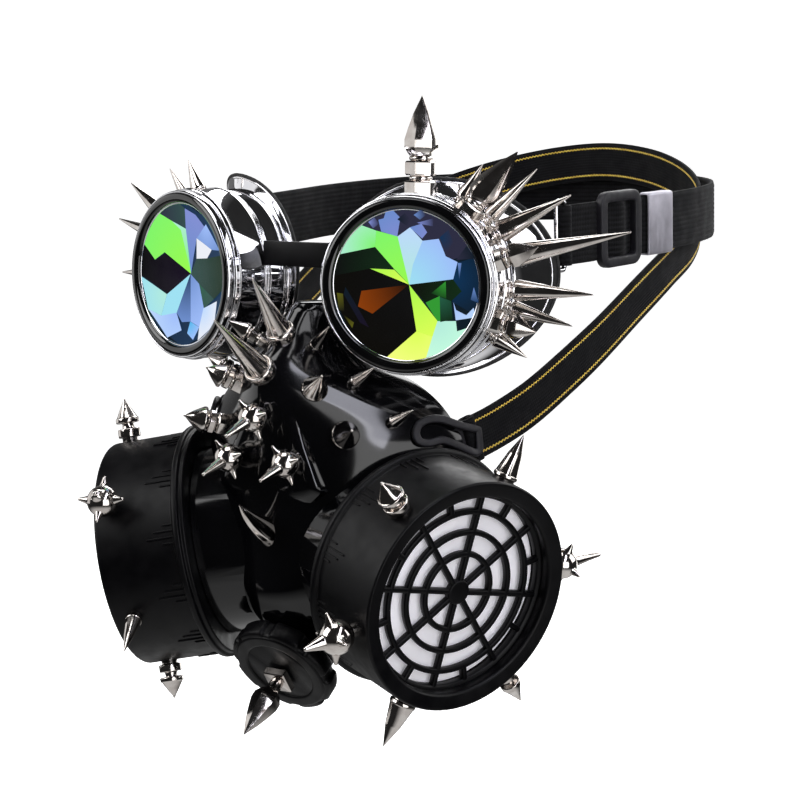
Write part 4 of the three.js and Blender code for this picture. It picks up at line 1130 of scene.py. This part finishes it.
def canister(name, place):
    """Round housing with a broad front lip, a stepped rear flange and rows of small moulded ridges."""
    c = CANISTER
    radius, depth, lip, step = c.radius, c.depth, c.bore - 1.4, c.flange - 1.2
    form = Form().add(ring([
        (c.bore, 4.9), (lip, 4.8), (lip, 1.6), (lip + 0.7, 0.7), (radius - 1.6, 0.15), (radius - 0.5, 0.0),
        (radius, 0.7), (radius, depth - 4.6), (c.flange - 0.7, depth - 4.3), (c.flange, depth - 3.6),
        (c.flange, depth - 2.0), (step, depth - 1.6), (step, depth - 0.4), (c.flange - 1.8, depth),
        (c.rear_hole, depth), (c.rear_hole, depth - 3), (c.bore, depth - 3),
    ], 0.45, 3, 144), place)
    rear = 4.0 - depth
    rib = rounded_box(1.2, 0.7, 0.3, 2)
    for group in range(12):
        for offset, length in ((-4.6, 5.0), (-1.6, 10.5), (1.6, 8.0), (4.6, 4.5)):
            spot = rotated(group * 30 + 14 + offset) @ Matrix.Translation((radius - 0.15, 0, rear))
            form.add(stacked(rib, ((0, 1), (length - 0.5, 1), (length, 0.4))), place @ spot)
    piece(f"housing_{name}", form, [SATIN], [f"canister_{name}"], sharp=32)


def grille(name, side, axis):
    """Pierced front: rings and spokes of rounded bars round a hub."""
    g, front, thick = GRILLE, CANISTER.grille_depth, CANISTER.grille_thick
    back, hub_front, edge = front + thick, front - 0.25, CANISTER.bore - GAP
    place = axis @ rotated(g.turn * side)
    section = [(u, v - front - thick / 2) for u, v in rounded_box(g.bar * 0.88, thick, 0.75)]
    form = Form()
    for radius in g.rings:
        form.add(lathe([(radius + u, v) for u, v in section], 96, closed=True), place)
    rim = [(g.rim, front + 0.5), (g.rim + 0.6, front), (edge, front - 0.6), (edge, back), (g.rim, back)]
    form.add(ring(rim, 0.4, 2, 96), place)
    turned(form, place, below([(0, hub_front), (g.hub, hub_front), (g.hub, back), (0, back)]), 48, 0.7, 3)
    for i in range(g.spokes):
        start = g.rings[-1] if i % 2 else g.hub - 1
        spoke = [[Vector((x, u, v - 0.02)) for u, v in section] for x in (start, g.rim + 0.5)]
        form.add(loft(spoke), place @ rotated(i / g.spokes * 360))
    piece(f"grille_bars_{name}", form, [SATIN], [f"grille_{name}"], sharp=45)


def filter_disc(name, place):
    """Felt disc, slightly domed, set back behind the grille."""
    radius, set_back = GRILLE.rim + 0.5, 1.6
    front = CANISTER.grille_depth + CANISTER.grille_thick + set_back
    back = front + CANISTER.filter_thick + set_back
    dome = [(radius * sin(a), -front + 0.2 * cos(a)) for a in np.linspace(pi / 2, 0, 14)]
    disc = lathe([(0, -back), (radius, -back), *dome[:-1], (0, dome[-1][1])], 96)
    piece(f"felt_{name}", Form().add(disc, place), [GLOWING_FELT], [f"filter_{name}"])


def canister_studs(name, side, place):
    for row in CANISTER_STUDS:
        if row.side != name:
            continue
        seat = around(CANISTER.radius + GAP, row.angle, row.depth, side)
        form = Form()
        STUD[row.kind](form, place @ standing(seat, (seat.x, seat.y, 0)), row.radius, row.length, 0.5)
        label = f"stud_{name}_{row.name}"
        piece(f"housing_{label}", form, [NICKEL], [f"canister_{label}"])


def valve():
    """Flat notched outlet cap with a raised rim, and its spike on a square washer."""
    v, place = VALVE, VALVE_PLACE
    cap, notch, thick, top = v.cap - 0.8, v.cap - 2.0, v.thick, GAP + v.thick + 0.5
    lobe = ((cap, 0.08), (cap, 0.25), (cap, 0.43), (cap, 0.61), (cap, 0.78), (notch, 0.84), (notch, 1.02))
    outline = []
    for i in range(v.lobes):
        for radius, share in lobe:
            angle = (i + share) / v.lobes * TURN
            outline.append((radius * cos(angle), radius * sin(angle)))
    rows = ((0, 1.2), (0.4, 0.4), (1.2, 0), (thick - 1.4, 0), (thick - 0.5, 0.4), (thick, 1.3))
    rows = [(GAP + height, 1 - inset / cap) for height, inset in rows]
    raised = lifted(2.2) @ place
    form = Form().add(stacked(eased(outline, 0.9, closed=True), rows), raised)
    rim = [(12.6, -2), (12.6, -0.4), (13.3, 0), (16.6, 0), (17.2, -0.4), (17.2, -2)]
    form.add(ring([(radius, -top - height) for radius, height in rim], 0.4, 3, 96), raised)
    piece("outlet_cap", form, [SATIN], ["valve_cap"])
    foot = place @ lifted(top + 0.2)
    spike = Form().add(stacked(rounded_box(8.6, 8.6, 0.4, 2), ((-1, 1), (1.4, 1), (1.8, 0.9))), foot)
    spike.add(lathe([(0, 1), (2.4, 1), (2.4, 6.4), (0, 6.4)], 32), foot)
    hex_head(spike, foot, v.spike_radius, 6.0, v.spike_length + 1.7)
    piece("outlet_spike", spike, [NICKEL], ["valve_spike"])


def shell_studs():
    """Studs of the shell. On the wearer's right the cones are arrows, as their tips show in the photo."""
    for row in SHELL_STUDS:
        for name, side in SIDES if row.mirrored else (("", 1),):
            foot, tip = (Vector((x * side, y, z)) for x, y, z in (row.foot, row.tip))
            label = f"{row.name}_{name}" if name else row.name
            kind = row.kind if side > 0 or row.kind == "ball" else "arrow"
            form = Form()
            STUD[kind](form, standing(foot, tip - foot), row.radius, (tip - foot).length, 2.0)
            piece(f"face_{label}", form, [NICKEL], [f"stud_{label}"])


def claw():
    """Curved thorn on the middle line, from a tall foot to a beaded tip that turns upwards."""
    a, b, c = Vector(CLAW.foot), Vector(CLAW.bend), Vector(CLAW.tip)
    rings = []
    for t in np.linspace(0, 1, 33):
        centre = a * (1 - t) ** 2 + b * (2 * t * (1 - t)) + c * t * t
        along = ((b - a) * (1 - t) + (c - b) * t).normalized()
        taper = max(0.07, (1 - t) ** 0.8)
        wide = Vector((CLAW.half_width * taper, 0, 0))
        rise = Vector((0, along.z, -along.y)) * (CLAW.half_height * taper)
        rings.append([centre + wide * u + rise * v for u, v in circle(1, 32)])
    piece("thorn", Form().add(loft(rings)), [NICKEL], ["claw"], sharp=60)


for side_name, side_sign in SIDES:
    goggle_axis = facing(GOGGLE.centre, GOGGLE.splay, 0, side_sign)
    canister_axis = canister_place(side_sign)
    barrel(side_name, side_sign, goggle_axis)
    bezel(side_name, goggle_axis)
    lens(side_name, goggle_axis)
    cup(side_name, side_sign, goggle_axis)
    strap_lug(side_name, side_sign)
    canister(side_name, canister_axis)
    grille(side_name, side_sign, canister_axis)
    filter_disc(side_name, canister_axis)
    canister_studs(side_name, side_sign, canister_axis)
for build in (bridge, goggle_strap, slider, clip, loops, mask_strap, zigzag):
    build()
for build in (mask_shell, valve, shell_studs, claw):
    build()


# Camera, floor and light, in metres

CAMERA_BACK = (0.53293, -0.83795, 0.11757)


def camera():
    data = bpy.data.cameras.new("camera")
    data.lens = 98.67
    data.sensor_width = 36.0
    data.clip_start = 0.01
    obj = linked("camera", data)
    right, up = (0.84333, 0.53735, 0.00714), (-0.06916, 0.09534, 0.99304)
    obj.matrix_world = basis(Vector((0.43319, -0.64297, 0.04746)), right, up, CAMERA_BACK)
    bpy.context.scene.camera = obj


def staged(name, points, faces):
    """Pale piece of the studio, which lends no light or reflection of its own."""
    mesh = bpy.data.meshes.new(name)
    mesh.from_pydata(points, [], faces)
    mesh.shade_smooth()
    mesh.materials.append(PALE)
    obj = linked(name, mesh)
    obj.visible_glossy = False
    obj.visible_diffuse = False
    return obj


def backdrop():
    """Floor that curves up into a wall behind the object, and a wall all round for the other views."""
    floor, reach, bend = -0.3, 4.0, 1.2
    forward = Vector((-CAMERA_BACK[0], -CAMERA_BACK[1], 0)).normalized()
    wide = Vector((forward.y, -forward.x, 0))
    curve = np.linspace(0.1, pi / 2, 16)
    rise = [(reach - bend + bend * sin(a), bend - bend * cos(a)) for a in curve]
    profile = [(-reach, 0.0), (reach - bend, 0.0), *rise, (reach, 5.0)]
    points = [forward * d + wide * w + UP * (floor + h) for d, h in profile for w in (-6, 6)]
    faces = [(2 * i, 2 * i + 1, 2 * i + 3, 2 * i + 2) for i in range(len(profile) - 1)]
    staged("floor", points, faces)
    wall = [(2.0, floor - 0.01), *[(d + 4, floor - 0.01 + h) for d, h in profile[1:]]]
    staged("surround", *lathe(wall, 96)).visible_shadow = False


def softbox(name, spot, along, size, power, colour=(1, 1, 1)):
    """Soft light that faces the object, its long side along a direction."""
    data = bpy.data.lights.new(name, "AREA")
    data.shape = "RECTANGLE"
    data.size, data.size_y = size
    data.energy = power
    data.color = colour
    away = Vector(spot) - Vector((0, 0.02, -0.04))
    linked(name, data).matrix_world = aimed(spot, away, along)


def world_glow(tree, axis, stops):
    """Grey level of the surroundings by how far a direction lies along an axis."""
    direction = add_node(tree, "TexCoord").outputs["Generated"]
    dot = add_node(tree, "VectorMath", {0: direction, 1: axis}, operation="DOT_PRODUCT")
    return add_ramp(tree, dot.outputs["Value"], [(spot, [level] * 3) for spot, level in stops])


def studio():
    """Dark room with a white floor and a grey far side, and large soft lights round the object."""
    world = bpy.data.worlds.new("studio")
    world.use_nodes = True
    tree = world.node_tree
    far_side = world_glow(tree, (-CAMERA_BACK[0], -CAMERA_BACK[1], -0.12), ((0.5, 0.02), (0.85, 0.14)))
    ground = world_glow(tree, (0, 0, -1), ((0.45, 0.0), (0.75, 0.6)))
    total = add_node(tree, "VectorMath", {0: far_side, 1: ground})
    tree.links.new(total.outputs["Vector"], tree.nodes["Background"].inputs["Color"])
    bpy.context.scene.world = world
    softbox("top_back", (-0.26, 1.04, 0.65), UP, (1.2, 0.4), 8)
    softbox("right_back", (1.0, 0.84, 0.53), UP, (1.1, 0.9), 8)
    softbox("back", (0.1, 1.4, 0), UP, (0.5, 0.9), 3)
    softbox("right_arc", (0.79, -0.34, 0.69), (0.243, -0.72, -0.648), (0.18, 1.3), 5.5, (0.88, 0.89, 1))
    softbox("right", (1.05, -0.6, -0.12), UP, (0.9, 0.9), 6)
    softbox("side", (-1.25, -0.1, 0.1), UP, (1.0, 0.9), 2.4)
    softbox("left", (-0.85, -0.95, 0.62), UP, (0.9, 1.1), 11)
    softbox("top", (-0.1, -0.2, 1.15), (0.84, 0.54, 0), (0.6, 0.6), 5)


camera()
backdrop()
studio()
bpy.context.scene.view_settings.view_transform = "Standard"
